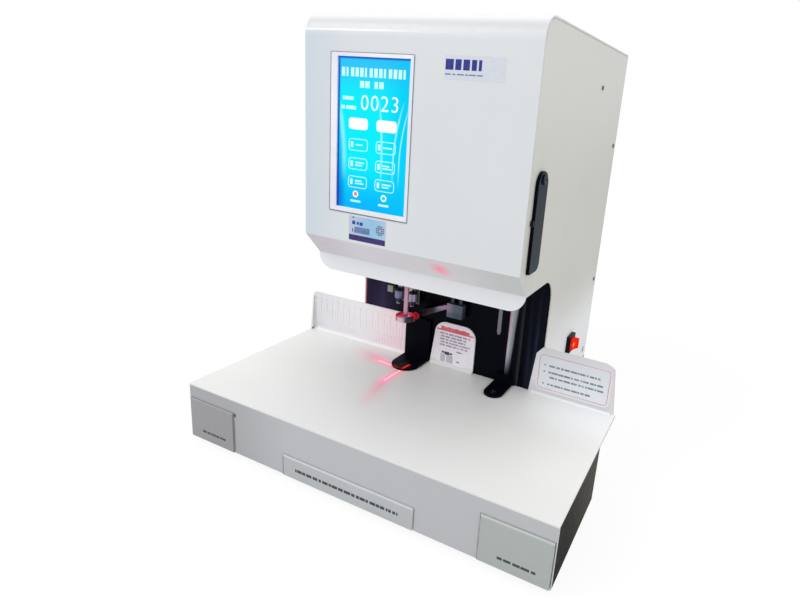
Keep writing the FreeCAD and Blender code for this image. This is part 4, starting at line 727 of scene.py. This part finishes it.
def make(name, bm, look, body="machine", bevel=0.0, smooth=False):
    """Object of the mesh, in place in the row frame, that rides on a body."""
    bmesh.ops.recalc_face_normals(bm, faces=bm.faces)
    mesh = bpy.data.meshes.new(name)
    bm.to_mesh(mesh)
    bm.free()
    item = bpy.data.objects.new(name, mesh)
    bpy.context.scene.collection.objects.link(item)
    mesh.materials.append(look.material)
    if smooth or bevel:
        soften(item, bevel, 35)
    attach(item, body)
    return item


def polygon(count, radius, x=0.0, z=0.0):
    """Points on a circle."""
    return [(x + radius * math.cos(turn), z + radius * math.sin(turn))
            for turn in (2 * math.pi * k / count for k in range(count))]


def rounded(left, right, low, high, radius, steps=5):
    """Corner points of a rectangle with round corners, counter-clockwise, in mm."""
    points = []
    x0, x1, z0, z1 = left + radius, right - radius, low + radius, high - radius
    for x, z, start in ((x1, z0, -90), (x1, z1, 0), (x0, z1, 90), (x0, z0, 180)):
        for step in range(steps + 1):
            angle = math.radians(start + 90 * step / steps)
            points.append((x + radius * math.cos(angle), z + radius * math.sin(angle)))
    return points


def circle(bm, centre, side, across, radius, count):
    """Ring of vertices round a centre, in metres."""
    return [bm.verts.new(centre + side * u + across * v) for u, v in polygon(count, radius)]


def bridge(bm, loops):
    """Walls from each loop of vertices to the next."""
    for low, high in zip(loops, loops[1:]):
        for k in range(len(low)):
            bm.faces.new((low[k - 1], low[k], high[k], high[k - 1]))


def closed(bm, loops):
    """Walls and both end faces."""
    bridge(bm, loops)
    bm.faces.new(loops[0])
    bm.faces.new(loops[-1])


def prism(bm, points, face, thick, holes=()):
    """Plate in the XZ plane; its visible side is at y = face - thick, all in mm. Holes are point loops."""
    front, back = [[[bm.verts.new(mm(x, y, z)) for x, z in loop] for loop in [points] + list(holes)]
                   for y in (face - thick, face)]
    for side in (front, back):
        if not holes:
            bm.faces.new(side[0])
            continue
        edges = [bm.edges.new((ring[index - 1], ring[index])) for ring in side for index in range(len(ring))]
        bmesh.ops.triangle_fill(bm, edges=edges, use_beauty=True)
    for loops in zip(front, back):
        bridge(bm, loops)


def plates(name, outlines, face, look, thick=INK, body="machine"):
    """Plates of the same thickness on one face."""
    bm = bmesh.new()
    for points in outlines:
        prism(bm, points, face, thick)
    make(name, bm, look, body)


def box_mm(name):
    """Low and high x, y and z of a CAD node, in mm."""
    low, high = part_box(name)
    return [1000 * part for axis in zip(low, high) for part in axis]


def boxes(*sizes, rise=0.0):
    """Outlines of rectangles from (left, right, low, high), all raised by the same height."""
    return [[(left, low + rise), (right, low + rise), (right, high + rise), (left, high + rise)]
            for left, right, low, high in sizes]


def frame_plate(name, outer, inner, face, look, thick=INK):
    """Flat frame between two outlines."""
    bm = bmesh.new()
    prism(bm, outer, face, thick, [inner])
    make(name, bm, look)


def figures(name, entries, face, look, thin=0.0):
    """Plain numbers on a face that looks to -Y: (text, x, z, height) entries, in mm."""
    bm = bmesh.new()
    for text, x, z, height in entries:
        curve = bpy.data.curves.new("figures", "FONT")
        curve.body = text
        curve.size = mm(height * 1.37)
        curve.extrude = mm(INK)
        curve.resolution_u = 3
        curve.align_x = "CENTER"
        curve.space_character = 1.12
        curve.offset = mm(-thin)
        holder = bpy.data.objects.new("figures", curve)
        mesh = bpy.data.meshes.new_from_object(holder)
        mesh.transform(Matrix.Translation(mm(x, face - INK, z)) @ Matrix.Rotation(math.pi / 2, 4, "X"))
        bm.from_mesh(mesh)
        bpy.data.objects.remove(holder)
        bpy.data.curves.remove(curve)
        bpy.data.meshes.remove(mesh)
    make(name, bm, look)


def broken_line(left, right, middle, height, seed):
    """Short bars in a row, like a line of small print with nothing to read."""
    bars, x, number = [], left, seed
    while x < right - 1.5:
        number = (number * 37 + 11) % 101
        end = min(x + 2.2 + number % 7, right)
        bars.append((x, end, middle - height / 2, middle + height / 2))
        x = end + 0.7 + (number % 3) * 0.5
    return boxes(*bars)


def display_picture():
    """Generic controls drawn on the lit display."""
    left, right, glass, _, bottom, top = box_mm("display_module")
    face = glass - 0.02
    wide, tall = right - left, top - bottom

    def span(u0, u1, v0, v1):
        return (left + u0 * wide, left + u1 * wide, top - v1 * tall, top - v0 * tall)

    white = lit_print("picture_white", srgb(248, 255, 255))
    pale = lit_print("picture_pale", srgb(200, 250, 255))
    filled = [rounded(*span(u0, u1, 0.386, 0.461), 3.4) for u0, u1 in ((0.165, 0.44), (0.565, 0.845))]
    plates("picture_buttons", filled, face, white, 0.05)
    bars = []
    for index in range(14):
        wide_share = 0.5 if index % 4 == 1 else 0.82
        start = 0.05 + index * 0.066
        bars.append(span(start, start + 0.056 * wide_share, 0.066, 0.122))
    for start, end in ((0.315, 0.375), (0.39, 0.45), (0.52, 0.565), (0.585, 0.645)):
        bars.append(span(start, end, 0.148, 0.190))
    for u0, u1, v in ((0.07, 0.225, 0.250), (0.05, 0.10, 0.310), (0.12, 0.265, 0.310)):
        bars.append(span(u0, u1, v, v + 0.022))
    plates("picture_bars", boxes(*bars), face, pale, 0.04)
    figures("picture_counter", [("0023", left + 0.60 * wide, top - 0.331 * tall, 0.104 * tall)], face, white,
            0.22)
    rims, marks = bmesh.new(), []
    for row, v in enumerate((0.522, 0.650, 0.775)):
        for column, u in enumerate((0.17, 0.565)):
            outer = span(u, u + 0.277, v, v + 0.081)
            inner = (outer[0] + 0.7, outer[1] - 0.7, outer[2] + 0.7, outer[3] - 0.7)
            prism(rims, rounded(*outer, 3.4), face, 0.04, [rounded(*inner, 2.7)])
            x, z = outer[0] + 2.6, (outer[2] + outer[3]) / 2
            marks.append(rounded(x, x + 3.2, z - 3.0, z + 3.0, 0.8))
            for number, rise in enumerate((1.4, -1.4) if row else (0.0,)):
                end = x + 15.0 + 2.5 * ((row + column + number) % 2)
                marks += boxes((x + 6.5, end, z - 0.7, z + 0.7), rise=rise)
    make("picture_outlines", rims, pale)
    plates("picture_marks", marks, face, pale, 0.04)
    for name, u, colour in (("picture_red_key", 0.285, srgb(244, 120, 130)),
                            ("picture_green_key", 0.70, srgb(20, 214, 210))):
        x, z = left + u * wide, top - 0.899 * tall
        plates(name + "_rim", [polygon(28, 3.6, x, z)], face, white)
        plates(name, [polygon(28, 2.3, x, z)], face - INK, lit_print(name, colour))
    feet = [span(u - 0.075, u + 0.075, 0.942, 0.956) for u in (0.285, 0.70)]
    plates("picture_feet", boxes(*feet), face, pale, 0.04)


def bezel_trim():
    """Painted shadow: a thin grey line round the bezel where its flange meets the cover."""
    x0, x1, _, _, z0, z1 = box_mm("screen_bezel")
    # A grey frame put where the bezel casts its shadow on the cover.
    grey = moulded("bezel_shadow_grey", srgb(122, 118, 134), rough=0.5)
    frame_plate("bezel_shadow_line", rounded(x0 - 1.2, x1 + 0.5, z0 - 1.2, z1 + 0.7, 1.2),
                rounded(x0 + 0.1, x1 - 0.1, z0 + 0.1, z1 - 0.1, 0.5), FACE, grey, 0.55)


def cover_labels():
    """Generic label under the screen and the bare plate on the right."""
    low = 257.2
    item = Finish("label_film", Roughness=0.3)
    away = item.away(mm(-46, -125.5, low + 15))
    blue = item.mix(item.ease(away, mm(26), mm(8)), srgb(186, 194, 218), srgb(142, 190, 224))
    item.lay(item.mix(item.patches(300, 3, 0.35, 0.65, 0.0, 0.3), blue, srgb(166, 200, 222)))
    plates("info_label", [rounded(-74, -25.6, low, low + 27.4, 0.8)], FACE, item, 0.15)
    face = FACE - 0.15
    plates("info_label_foot", boxes((-73.7, -25.9, 0.4, 6.6), rise=low), face,
           ink("label_violet", srgb(50, 32, 104), 0.4, 0.5))
    bars = ((-69.6, -65.6, 18.2, 22.2), (-63.6, -60.8, 18.4, 21.6), (-59.8, -55.6, 18.0, 21.6),
            (-69.6, -67.0, 25.4, 26.6))
    plates("info_label_bars", boxes(*bars, rise=low), face, ink("label_blue", srgb(40, 52, 140), 0.4))
    plates("info_label_block", boxes((-66.0, -46.2, 9.2, 16.0), rise=low), face,
           ink("block_blue", srgb(100, 124, 170), 0.4, 0.3))
    pitch, side = 2.2, 1.6
    squares = [(-38 + pitch * i, -38 + side + pitch * i, 11 + pitch * k, 11 + side + pitch * k)
               for i in range(5) for k in range(5) if (i * 3 + k * 5 + i * k) % 4]
    squares += [(-69.6, -68.2, 9.6, 13.6), (-66.8, -66.2, 8.4, 14.4)]
    plates("info_label_squares", boxes(*squares, rise=low), face,
           ink("square_grey", srgb(84, 92, 128), 0.4))
    plates("name_film", [rounded(33.5, 96.4, 432.8, 454.5, 1.0)], FACE,
           ink("film_lilac", srgb(209, 214, 224), 0.3, 0.02), 0.12)
    face = FACE - 0.12
    letters = [(left, left + wide, 441.4, 451)
               for left, wide in ((34.6, 8.6), (45.0, 6.4), (53.4, 6.8), (62.2, 5.2), (69.4, 3.2))]
    plates("name_film_bars", boxes(*letters), face, ink("bar_navy", srgb(28, 42, 132), 0.4, 0.3), 0.04)
    plates("name_film_line", broken_line(34.5, 74, 437.4, 1.2, 5), face,
           ink("line_grey", srgb(116, 118, 152)))


def light_washed_print(name, colour, paper):
    """Fine print that painted light washes out here and there."""
    item = Finish(name, Roughness=0.5)
    # Painted light: patches where the print fades into its paper.
    light_wash = item.patches(55, 3, 0.3, 0.7, 0.15, 0.85)
    item.lay(item.mix(light_wash, colour, paper))
    item.bump(item.noise(2500, 2), 0.1, mm(0.02))
    return item


def ruler():
    """Marks and plain numbers on the left fence, with the painted light of the lasers making them rosy near
    the lasers.
    """
    paper = srgb(236, 233, 240)
    inks = {"ruler_long_marks": light_washed_print("ruler_ink", srgb(132, 132, 144), paper),
            "ruler_short_marks": light_washed_print("ruler_faint", srgb(176, 172, 184), paper),
            "ruler_laser_lit_marks": light_washed_print("ruler_laser_lit", srgb(196, 132, 148), srgb(246, 224, 234))}
    marks = {name: [] for name in inks}
    numbers, last, pitch = [], -221, 5.0
    for count in range(31):
        x = -70.2 - pitch * count
        # Near the lasers the marks take a painted rosy tint of their light.
        rosy = "ruler_laser_lit_marks" if x > -112 else None
        if count % 2:
            marks[rosy or "ruler_short_marks"].append((x - 0.2, x + 0.2, 96.0, 112.0))
        else:
            marks[rosy or "ruler_long_marks"].append((x - 0.22, x + 0.22, 94.0, 121.0))
            numbers.append((str(1 + count // 2), x, 122.6, 2.8))
        for step in range(1, 5):
            tick = x - step
            if tick > last:
                top = 91.0 if step % 2 else 97.0
                marks[rosy or "ruler_short_marks"].append((tick - 0.12, tick + 0.12, 81.0, top))
    for name, sizes in marks.items():
        plates(name, boxes(*sizes), FENCE_FACE, inks[name])
    figures("ruler_numbers", numbers, FENCE_FACE, light_washed_print("ruler_figure_ink", srgb(104, 104, 114), paper))


def middle_label():
    """Sticker with a leaning left edge, a red band and bars in place of words."""
    sticker = ink("sticker_white", srgb(243, 240, 246), 0.35, 0.02)
    outline = [(x + 5.0 * (z - 79.6) / 56 * max(0.0, (30 - x) / 54), z)
               for x, z in rounded(-23.6, 37.2, 79.6, 135.4, 14.6)]
    plates("middle_label", [outline], FENCE_FACE, sticker, 0.10)
    face = FENCE_FACE - 0.10
    band = [(-17.6, 36.0, 125.0, 127.2)]
    band += [(-11.4 + 5.2 * step, -6.3 + 5.2 * step, 126.9, 131.4 - 0.7 * (step % 2)) for step in range(8)]
    plates("middle_label_band", boxes(*band), face,
           light_washed_print("band_red", srgb(228, 74, 90), srgb(246, 140, 152)))
    rows = []
    for row in range(5):
        rows += broken_line(-12.2 + 1.3 * (row % 2), 32.0 - 3.0 * (row % 3), 121.4 - 4.1 * row, 2.3, 5 + row)
    plates("middle_label_bars", rows, face, light_washed_print("bar_ink", srgb(134, 118, 146), srgb(196, 180, 200)))
    plates("middle_label_square", boxes((-9.8, -2.6, 81.4, 92.0), (-1.0, 8.6, 81.4, 92.0)), face,
           light_washed_print("square_lilac", srgb(176, 168, 188), srgb(206, 202, 216)))
    blots = boxes((-8.2, -4.4, 93.6, 96.2), (-3.8, 3.4, 92.2, 96.4), (3.9, 7.4, 93.2, 95.8))
    plates("middle_label_blots", blots, face, ink("blot_navy", srgb(62, 56, 82)), 0.04)
    small = broken_line(13.4, 21.2, 99.5, 2.0, 9) + broken_line(14.2, 21.0, 85.6, 2.2, 4)
    plates("middle_label_notes", small, face, ink("note_grey", srgb(140, 142, 152)))


def right_label():
    """Sticker with a red outline and rows of bars."""
    plates("right_label", [rounded(124.6, 215.6, 81.8, 130.6, 6.5)], FENCE_FACE,
           ink("sticker_blue", srgb(228, 231, 236), 0.35, 0.02), 0.08)
    face = FENCE_FACE - 0.08
    frame_plate("right_label_rim", rounded(126.6, 213.4, 84.0, 128.8, 4.6),
                rounded(127.4, 212.6, 84.8, 128.0, 3.9), face,
                light_washed_print("outline_red", srgb(196, 108, 120), srgb(224, 178, 188)))
    lines = []
    rows = ((115.6, 139.3, 202.0), (107.2, 139.2, 206.0), (100.8, 141.2, 207.4), (91.2, 139.8, 194.0))
    for row, (z, start, end) in enumerate(rows):
        lines += broken_line(start, end, z, 2.4, 7 + 3 * row)
        if row != 2:
            lines += boxes((132.8, 135.2, -0.7, 0.9), rise=z)
    plates("right_label_bars", lines, face, light_washed_print("line_ink", srgb(84, 98, 112), srgb(150, 162, 174)))


def side_marks():
    """Two small grey marks low at the back of the right panel."""
    x = box_mm("right_side_panel")[1]
    bm = bmesh.new()
    for y, z, long, tall in ((200.0, 54.0, 8.5, 8.0), (213.0, 38.5, 7.0, 5.0)):
        corners = [(y, z), (y + long, z), (y + long, z + tall), (y, z + tall)]
        closed(bm, [[bm.verts.new(mm(face, b, c)) for b, c in corners] for face in (x + 0.04, x)])
    make("side_marks", bm, ink("side_grey", srgb(140, 150, 142), 0.5, 0.4))


def drawer_prints():
    """Plain bars where the drawer fronts carry print."""
    dark = ink("drawer_ink", srgb(64, 66, 72))
    for name, body, left, right, z, height, seed in (
            ("scrap_drawer_print", "scrap_drawer", -64.6, 66.0, 20.0, 3.4, 3),
            ("left_drawer_print", "left_drawer", -205.0, -168.5, 20.0, 2.8, 8),
            ("right_drawer_print", "right_drawer", 172.6, 210.0, 20.0, 2.8, 6)):
        plates(name, broken_line(left, right, z, height, seed), APRON_FACE, dark, body=body)


def recessed_head(bm, centre, axis, sideways, radius, height, recess, depth):
    """Domed screw head along axis from centre, with a recess outline sunk into its top."""
    across = axis.cross(sideways)
    rings = [circle(bm, centre + axis * height * rise, sideways, across, radius * share, 28)
             for share, rise in ((1.0, 0), (1.0, 0.45), (0.93, 0.78), (0.78, 1.0))]
    bridge(bm, rings)
    offsets = [sideways * u + across * v for u, v in recess]
    mouth = [bm.verts.new(centre + axis * height + offset) for offset in offsets]
    floor = [bm.verts.new(centre + axis * (height - depth) + offset * 0.8) for offset in offsets]
    edges = [bm.edges.new((mouth[k - 1], mouth[k])) for k in range(len(mouth))]
    edges += [bm.edges.get((rings[-1][k - 1], rings[-1][k])) for k in range(len(rings[-1]))]
    bmesh.ops.triangle_fill(bm, edges=edges, use_beauty=True)
    bridge(bm, [mouth, floor])
    bm.faces.new(floor)
    bm.faces.new(rings[0])


def cross_outline(arm, half):
    """Plus sign, in metres."""
    return [(arm, -half), (arm, half), (half, half), (half, arm), (-half, arm), (-half, half), (-arm, half),
            (-arm, -half), (-half, -half), (-half, -arm), (half, -arm), (half, -half)]


def screws():
    """Pan heads with cross recesses on both side panels and the rear cover, and the cover's pivot screw."""
    bm = bmesh.new()
    size = (mm(3), mm(1.2), cross_outline(mm(1.75), mm(0.42)), mm(0.8))
    sides = ((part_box("right_side_panel")[1].x, X), (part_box("left_side_panel")[0].x, -X))
    for y, z in ((100.0, 443.0), (206.9, 370.8), (208.0, 173.0)):
        for x, axis in sides:
            recessed_head(bm, Vector((x, mm(y), mm(z))), axis, Y, *size)
    for x in (-118.0, 118.0):
        for z in (28.0, 470.0):
            recessed_head(bm, Vector(mm(x, 221.5, z)), Y, X, *size)
    steel = machined("screw_steel", srgb(112, 112, 118), rough=0.34, stretch=(1, 1, 1), scale=500)
    item = make("panel_screw_heads", bm, steel, smooth=True)
    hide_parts("panel_screws")
    bm = bmesh.new()
    low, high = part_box("cover_pivot_screw")
    centre = Vector((high.x - mm(2), (low.y + high.y) / 2, (low.z + high.z) / 2))
    recessed_head(bm, centre, X, Y, mm(5), mm(2), polygon(6, mm(2.1)), mm(1.4))
    lathe(bm, centre, -X, Y, [(3, -0.1), (3, 1000 * (centre.x - low.x))])
    item = make("pivot_screw", bm, LOOKS["press_foot_rods"], smooth=True)
    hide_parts("cover_pivot_screw")


def swept(bm, path, radius):
    """Round tube through points in mm."""
    rings = []
    points = [Vector(mm(*point)) for point in path]
    for index, point in enumerate(points):
        ahead = points[min(index + 1, len(points) - 1)] - points[max(index - 1, 0)]
        ahead.normalize()
        side = ahead.cross(Y if abs(ahead.y) < 0.9 else X).normalized()
        rings.append(circle(bm, point, side, ahead.cross(side), mm(radius), 12))
    closed(bm, rings)


def lathe(bm, centre, axis, sideways, profile):
    """Round body from (radius, rise) pairs in mm; zero radii close it."""
    across = axis.cross(sideways)
    closed(bm, [circle(bm, centre + axis * mm(rise), sideways, across, mm(max(radius, 0.01)), 32)
                for radius, rise in profile])


def rocker():
    """Dished rocker lens, raised at its far end, with rounded ends."""
    x_in, x_out, root, far, low, high = box_mm("power_rocker")
    rim = box_mm("switch_housing")[1] + 0.3
    overhang, dish, inset, steps = 1.5, 5.2, 1.7, 12
    near = root - overhang
    outline = [(x_in, root), (rim, root), (rim, near)]
    for share in (step / steps for step in range(steps + 1)):
        outline.append((x_out - dish + dish * share ** 1.9 + 0.3 * (1 - share) ** 3,
                        near + (far - 1 - near) * share))
    outline.append((x_in, far))
    bm = bmesh.new()
    closed(bm, [[bm.verts.new(mm(x, y, z)) for x, y in outline] for z in (low + inset, high - inset)])
    item = make("rocker_lens", bm, finish_rocker(), "rocker", 0.8)
    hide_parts("power_rocker")


def laser_fronts():
    """Lens rings and red windows under the two laser modules, and caps on their backs."""
    steel = machined("lens_ring", srgb(170, 176, 190), rough=0.2, stretch=(1, 1, 1), scale=400)
    rings, eyes, caps = bmesh.new(), bmesh.new(), bmesh.new()
    middle_y, lens_z, back_z = -15.5, 153.0, 169.0
    for x in (-73.0, -52.0):
        centre = Vector(mm(x, middle_y, lens_z))
        lathe(rings, centre, -Z, X, [(3.7, -0.2), (3.7, 1.2), (3.2, 1.9), (2.4, 1.9), (2.1, 1.1), (0, 1.1)])
        lathe(eyes, centre, -Z, X, [(2.0, 1.1), (1.9, 1.5), (0, 1.7)])
        lathe(caps, Vector(mm(x, middle_y, back_z)), Z, X,
              [(5.4, -0.3), (5.4, 1.2), (4.6, 2.0), (2.2, 2.2), (1.4, 5.0), (0, 5.2)])
    make("laser_lens_rings", rings, steel, smooth=True)
    make("laser_windows", eyes, lit_print("laser_window", srgb(255, 40, 50), 1.0), smooth=True)
    make("laser_back_caps", caps, LOOKS["fan_housing"], smooth=True)


def small_parts():
    """Pale sensor plug with its leads by the throat plate, and the tab on the smoked cover."""
    pale = moulded("connector_green", srgb(150, 160, 150), rough=0.5)
    bm = bmesh.new()
    prism(bm, rounded(-95.5, -87, 161, 170, 1.0), -3.9, 6.0)
    make("sensor_connector", bm, pale, bevel=0.4)
    bm = bmesh.new()
    for low, high in ((-94, -93), (-91, -91), (-88, -89)):
        swept(bm, [(low, -7.0, 169.5), (low, -7.2, 180), (high, -7.6, 200), (high, -7.8, 227.6)], 0.7)
    make("sensor_leads", bm, LOOKS["drill_belt"], smooth=True)
    bm = bmesh.new()
    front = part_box("loading_cover")[0]
    lathe(bm, Vector((front.x + mm(0.3), front.y - mm(0.6), mm(306))), X, Y,
          [(3.0, 0), (3.4, 0.4), (3.4, 2.6), (3.0, 3.0)])
    make("cover_tab", bm, LOOKS["switch_housing"], "swing_cover", smooth=True)


def inlet_pins():
    """Nickel sleeves of the three flat pins in the mains inlet."""
    bm = bmesh.new()
    for x, z in ((-92.0, 86.0), (-99.0, 82.0), (-85.0, 82.0)):
        prism(bm, rounded(x - 1.04, x + 1.04, z - 2.04, z + 2.04, 0.6), 217.1, 12.1)
    make("inlet_pins", bm, machined("pin_nickel", srgb(196, 190, 176), rough=0.24, scale=200), bevel=0.2)


def fan_blades():
    """Hub and seven curved blades."""
    bm = bmesh.new()
    centre = Vector(mm(62, 198.0, 400))
    lathe(bm, centre, Y, X, [(2.2, 0), (15.5, 0), (17, 1.4), (17, 17.0), (2.2, 17.0)])
    inner, outer, parts = 16.6, 35.4, 6
    grid = []
    for out in range(parts + 1):
        radius = inner + (outer - inner) * out / parts
        shares = [step / parts - 0.5 for step in range(parts + 1)]
        swings = [share * 0.86 + 0.10 * out / parts for share in shares]
        grid.append([Vector((radius * math.cos(swing), 8.5 + 13.0 * share + 1.2 * math.cos(share * math.pi),
                             radius * math.sin(swing))) for share, swing in zip(shares, swings)])
    rim = [(a, 0) for a in range(parts)] + [(parts, b) for b in range(parts)]
    rim += [(parts - a, parts - b) for a, b in rim]
    for number in range(7):
        turn = Matrix.Rotation(2 * math.pi * number / 7, 3, "Y")
        sides = [[[bm.verts.new(centre + turn @ Vector(mm(p.x, p.y + half, p.z))) for p in row]
                  for row in grid] for half in (-0.6, 0.6)]
        for a in range(parts):
            for b in range(parts):
                for skin in sides:
                    bm.faces.new((skin[a][b], skin[a + 1][b], skin[a + 1][b + 1], skin[a][b + 1]))
        bridge(bm, [[skin[a][b] for a, b in rim] for skin in sides])
    item = make("fan_blades", bm, LOOKS["fan_housing"], "fan_wheel", smooth=True)
    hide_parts("fan_rotor")


display_picture()
bezel_trim()
cover_labels()
ruler()
middle_label()
right_label()
drawer_prints()
side_marks()
screws()
rocker()
laser_fronts()
small_parts()
inlet_pins()
fan_blades()


def surroundings():
    """White behind the machine, a little grey in what it mirrors."""
    world = bpy.data.worlds.new("studio")
    bpy.context.scene.world = world
    world.use_nodes = True
    tree = world.node_tree
    path = tree.nodes.new("ShaderNodeLightPath")
    seen = tree.nodes.new("ShaderNodeMath")
    seen.operation = "MAXIMUM"
    tree.links.new(path.outputs["Is Camera Ray"], seen.inputs[0])
    tree.links.new(path.outputs["Is Transmission Ray"], seen.inputs[1])
    blend = tree.nodes.new("ShaderNodeMix")
    blend.data_type = "RGBA"
    mirrored, backdrop = (0.765, 0.7675, 0.77, 1), (1, 1, 1, 1)
    blend.inputs[6].default_value = mirrored
    blend.inputs[7].default_value = backdrop
    tree.links.new(seen.outputs[0], blend.inputs[0])
    tree.links.new(blend.outputs[2], tree.nodes["Background"].inputs[0])


def pale_floor():
    """Pale floor: the camera sees it nearly white, and it keeps a soft shadow near the machine."""
    bm = bmesh.new()
    bmesh.ops.create_grid(bm, x_segments=1, y_segments=1, size=6)
    mesh = bpy.data.meshes.new("floor")
    bm.to_mesh(mesh)
    bm.free()
    floor = bpy.data.objects.new("floor", mesh)
    bpy.context.scene.collection.objects.link(floor)
    item = Finish("floor_pale", Roughness=0.9, Specular_IOR_Level=0.1)
    item.lay(item.mix(item.patches(2, 3, 0.3, 0.7), (0.60, 0.60, 0.60, 1), (0.64, 0.64, 0.64, 1)))
    light = item.add("Emission")
    light.inputs["Strength"].default_value = 1.08
    plain = item.ease(item.vector("LENGTH", item.place), 0.45, 1.3, 0.84, 1.0)
    blended = item.add("MixShader")
    item.feed(blended.inputs[0], item.times(item.add("LightPath").outputs["Is Camera Ray"], plain))
    item.feed(blended.inputs[1], item.shader.outputs[0])
    item.feed(blended.inputs[2], light.outputs[0])
    item.feed(item.tree.nodes["Material Output"].inputs[0], blended.outputs[0])
    mesh.materials.append(item.material)


def lamps():
    """Large soft key from the left, a weak top lamp and one on the right side."""
    for name, spot, aim, size, power in (
            ("key", (-1.6, -1.9, 2.3), (0, -0.05, 0.2), 1.6, 44),
            ("top", (0.1, -0.3, 2.6), (0, -0.1, 0.1), 2.0, 4),
            ("side", (2.4, -0.6, 1.2), (0.1, 0, 0.25), 1.4, 10)):
        lamp = bpy.data.lights.new(name, "AREA")
        lamp.size = size
        lamp.energy = power
        holder = bpy.data.objects.new(name, lamp)
        holder.location = spot
        holder.rotation_euler = (Vector(aim) - Vector(spot)).to_track_quat("-Z", "Y").to_euler()
        bpy.context.scene.collection.objects.link(holder)


def photo_camera():
    """The camera solved from the picture; angles are azimuth, elevation and roll."""
    spot, angles = (0.309, -0.6294, 0.4118), (25.14, 16.39, 4.61)
    focal_pixels, picture_pixels, sensor = 571.7, 800, 36
    azimuth, elevation, roll = [math.radians(angle) for angle in angles]
    back = Vector((math.sin(azimuth) * math.cos(elevation), -math.cos(azimuth) * math.cos(elevation),
                   math.sin(elevation)))
    right = Vector((math.cos(azimuth), math.sin(azimuth), 0))
    up = back.cross(right)
    leaned = right * math.cos(roll) + up * math.sin(roll)
    upright = up * math.cos(roll) - right * math.sin(roll)
    camera = bpy.data.cameras.new("camera")
    camera.sensor_width = sensor
    camera.lens = focal_pixels * sensor / picture_pixels
    camera.shift_x = -0.0816
    camera.shift_y = -0.0345
    camera.clip_start = 0.01
    holder = bpy.data.objects.new("camera", camera)
    turned = Matrix((leaned, upright, back)).transposed().to_4x4()
    holder.matrix_world = Matrix.Translation(spot) @ turned
    scene = bpy.context.scene
    scene.collection.objects.link(holder)
    scene.camera = holder
    scene.view_settings.view_transform = "Standard"


surroundings()
pale_floor()
lamps()
photo_camera()
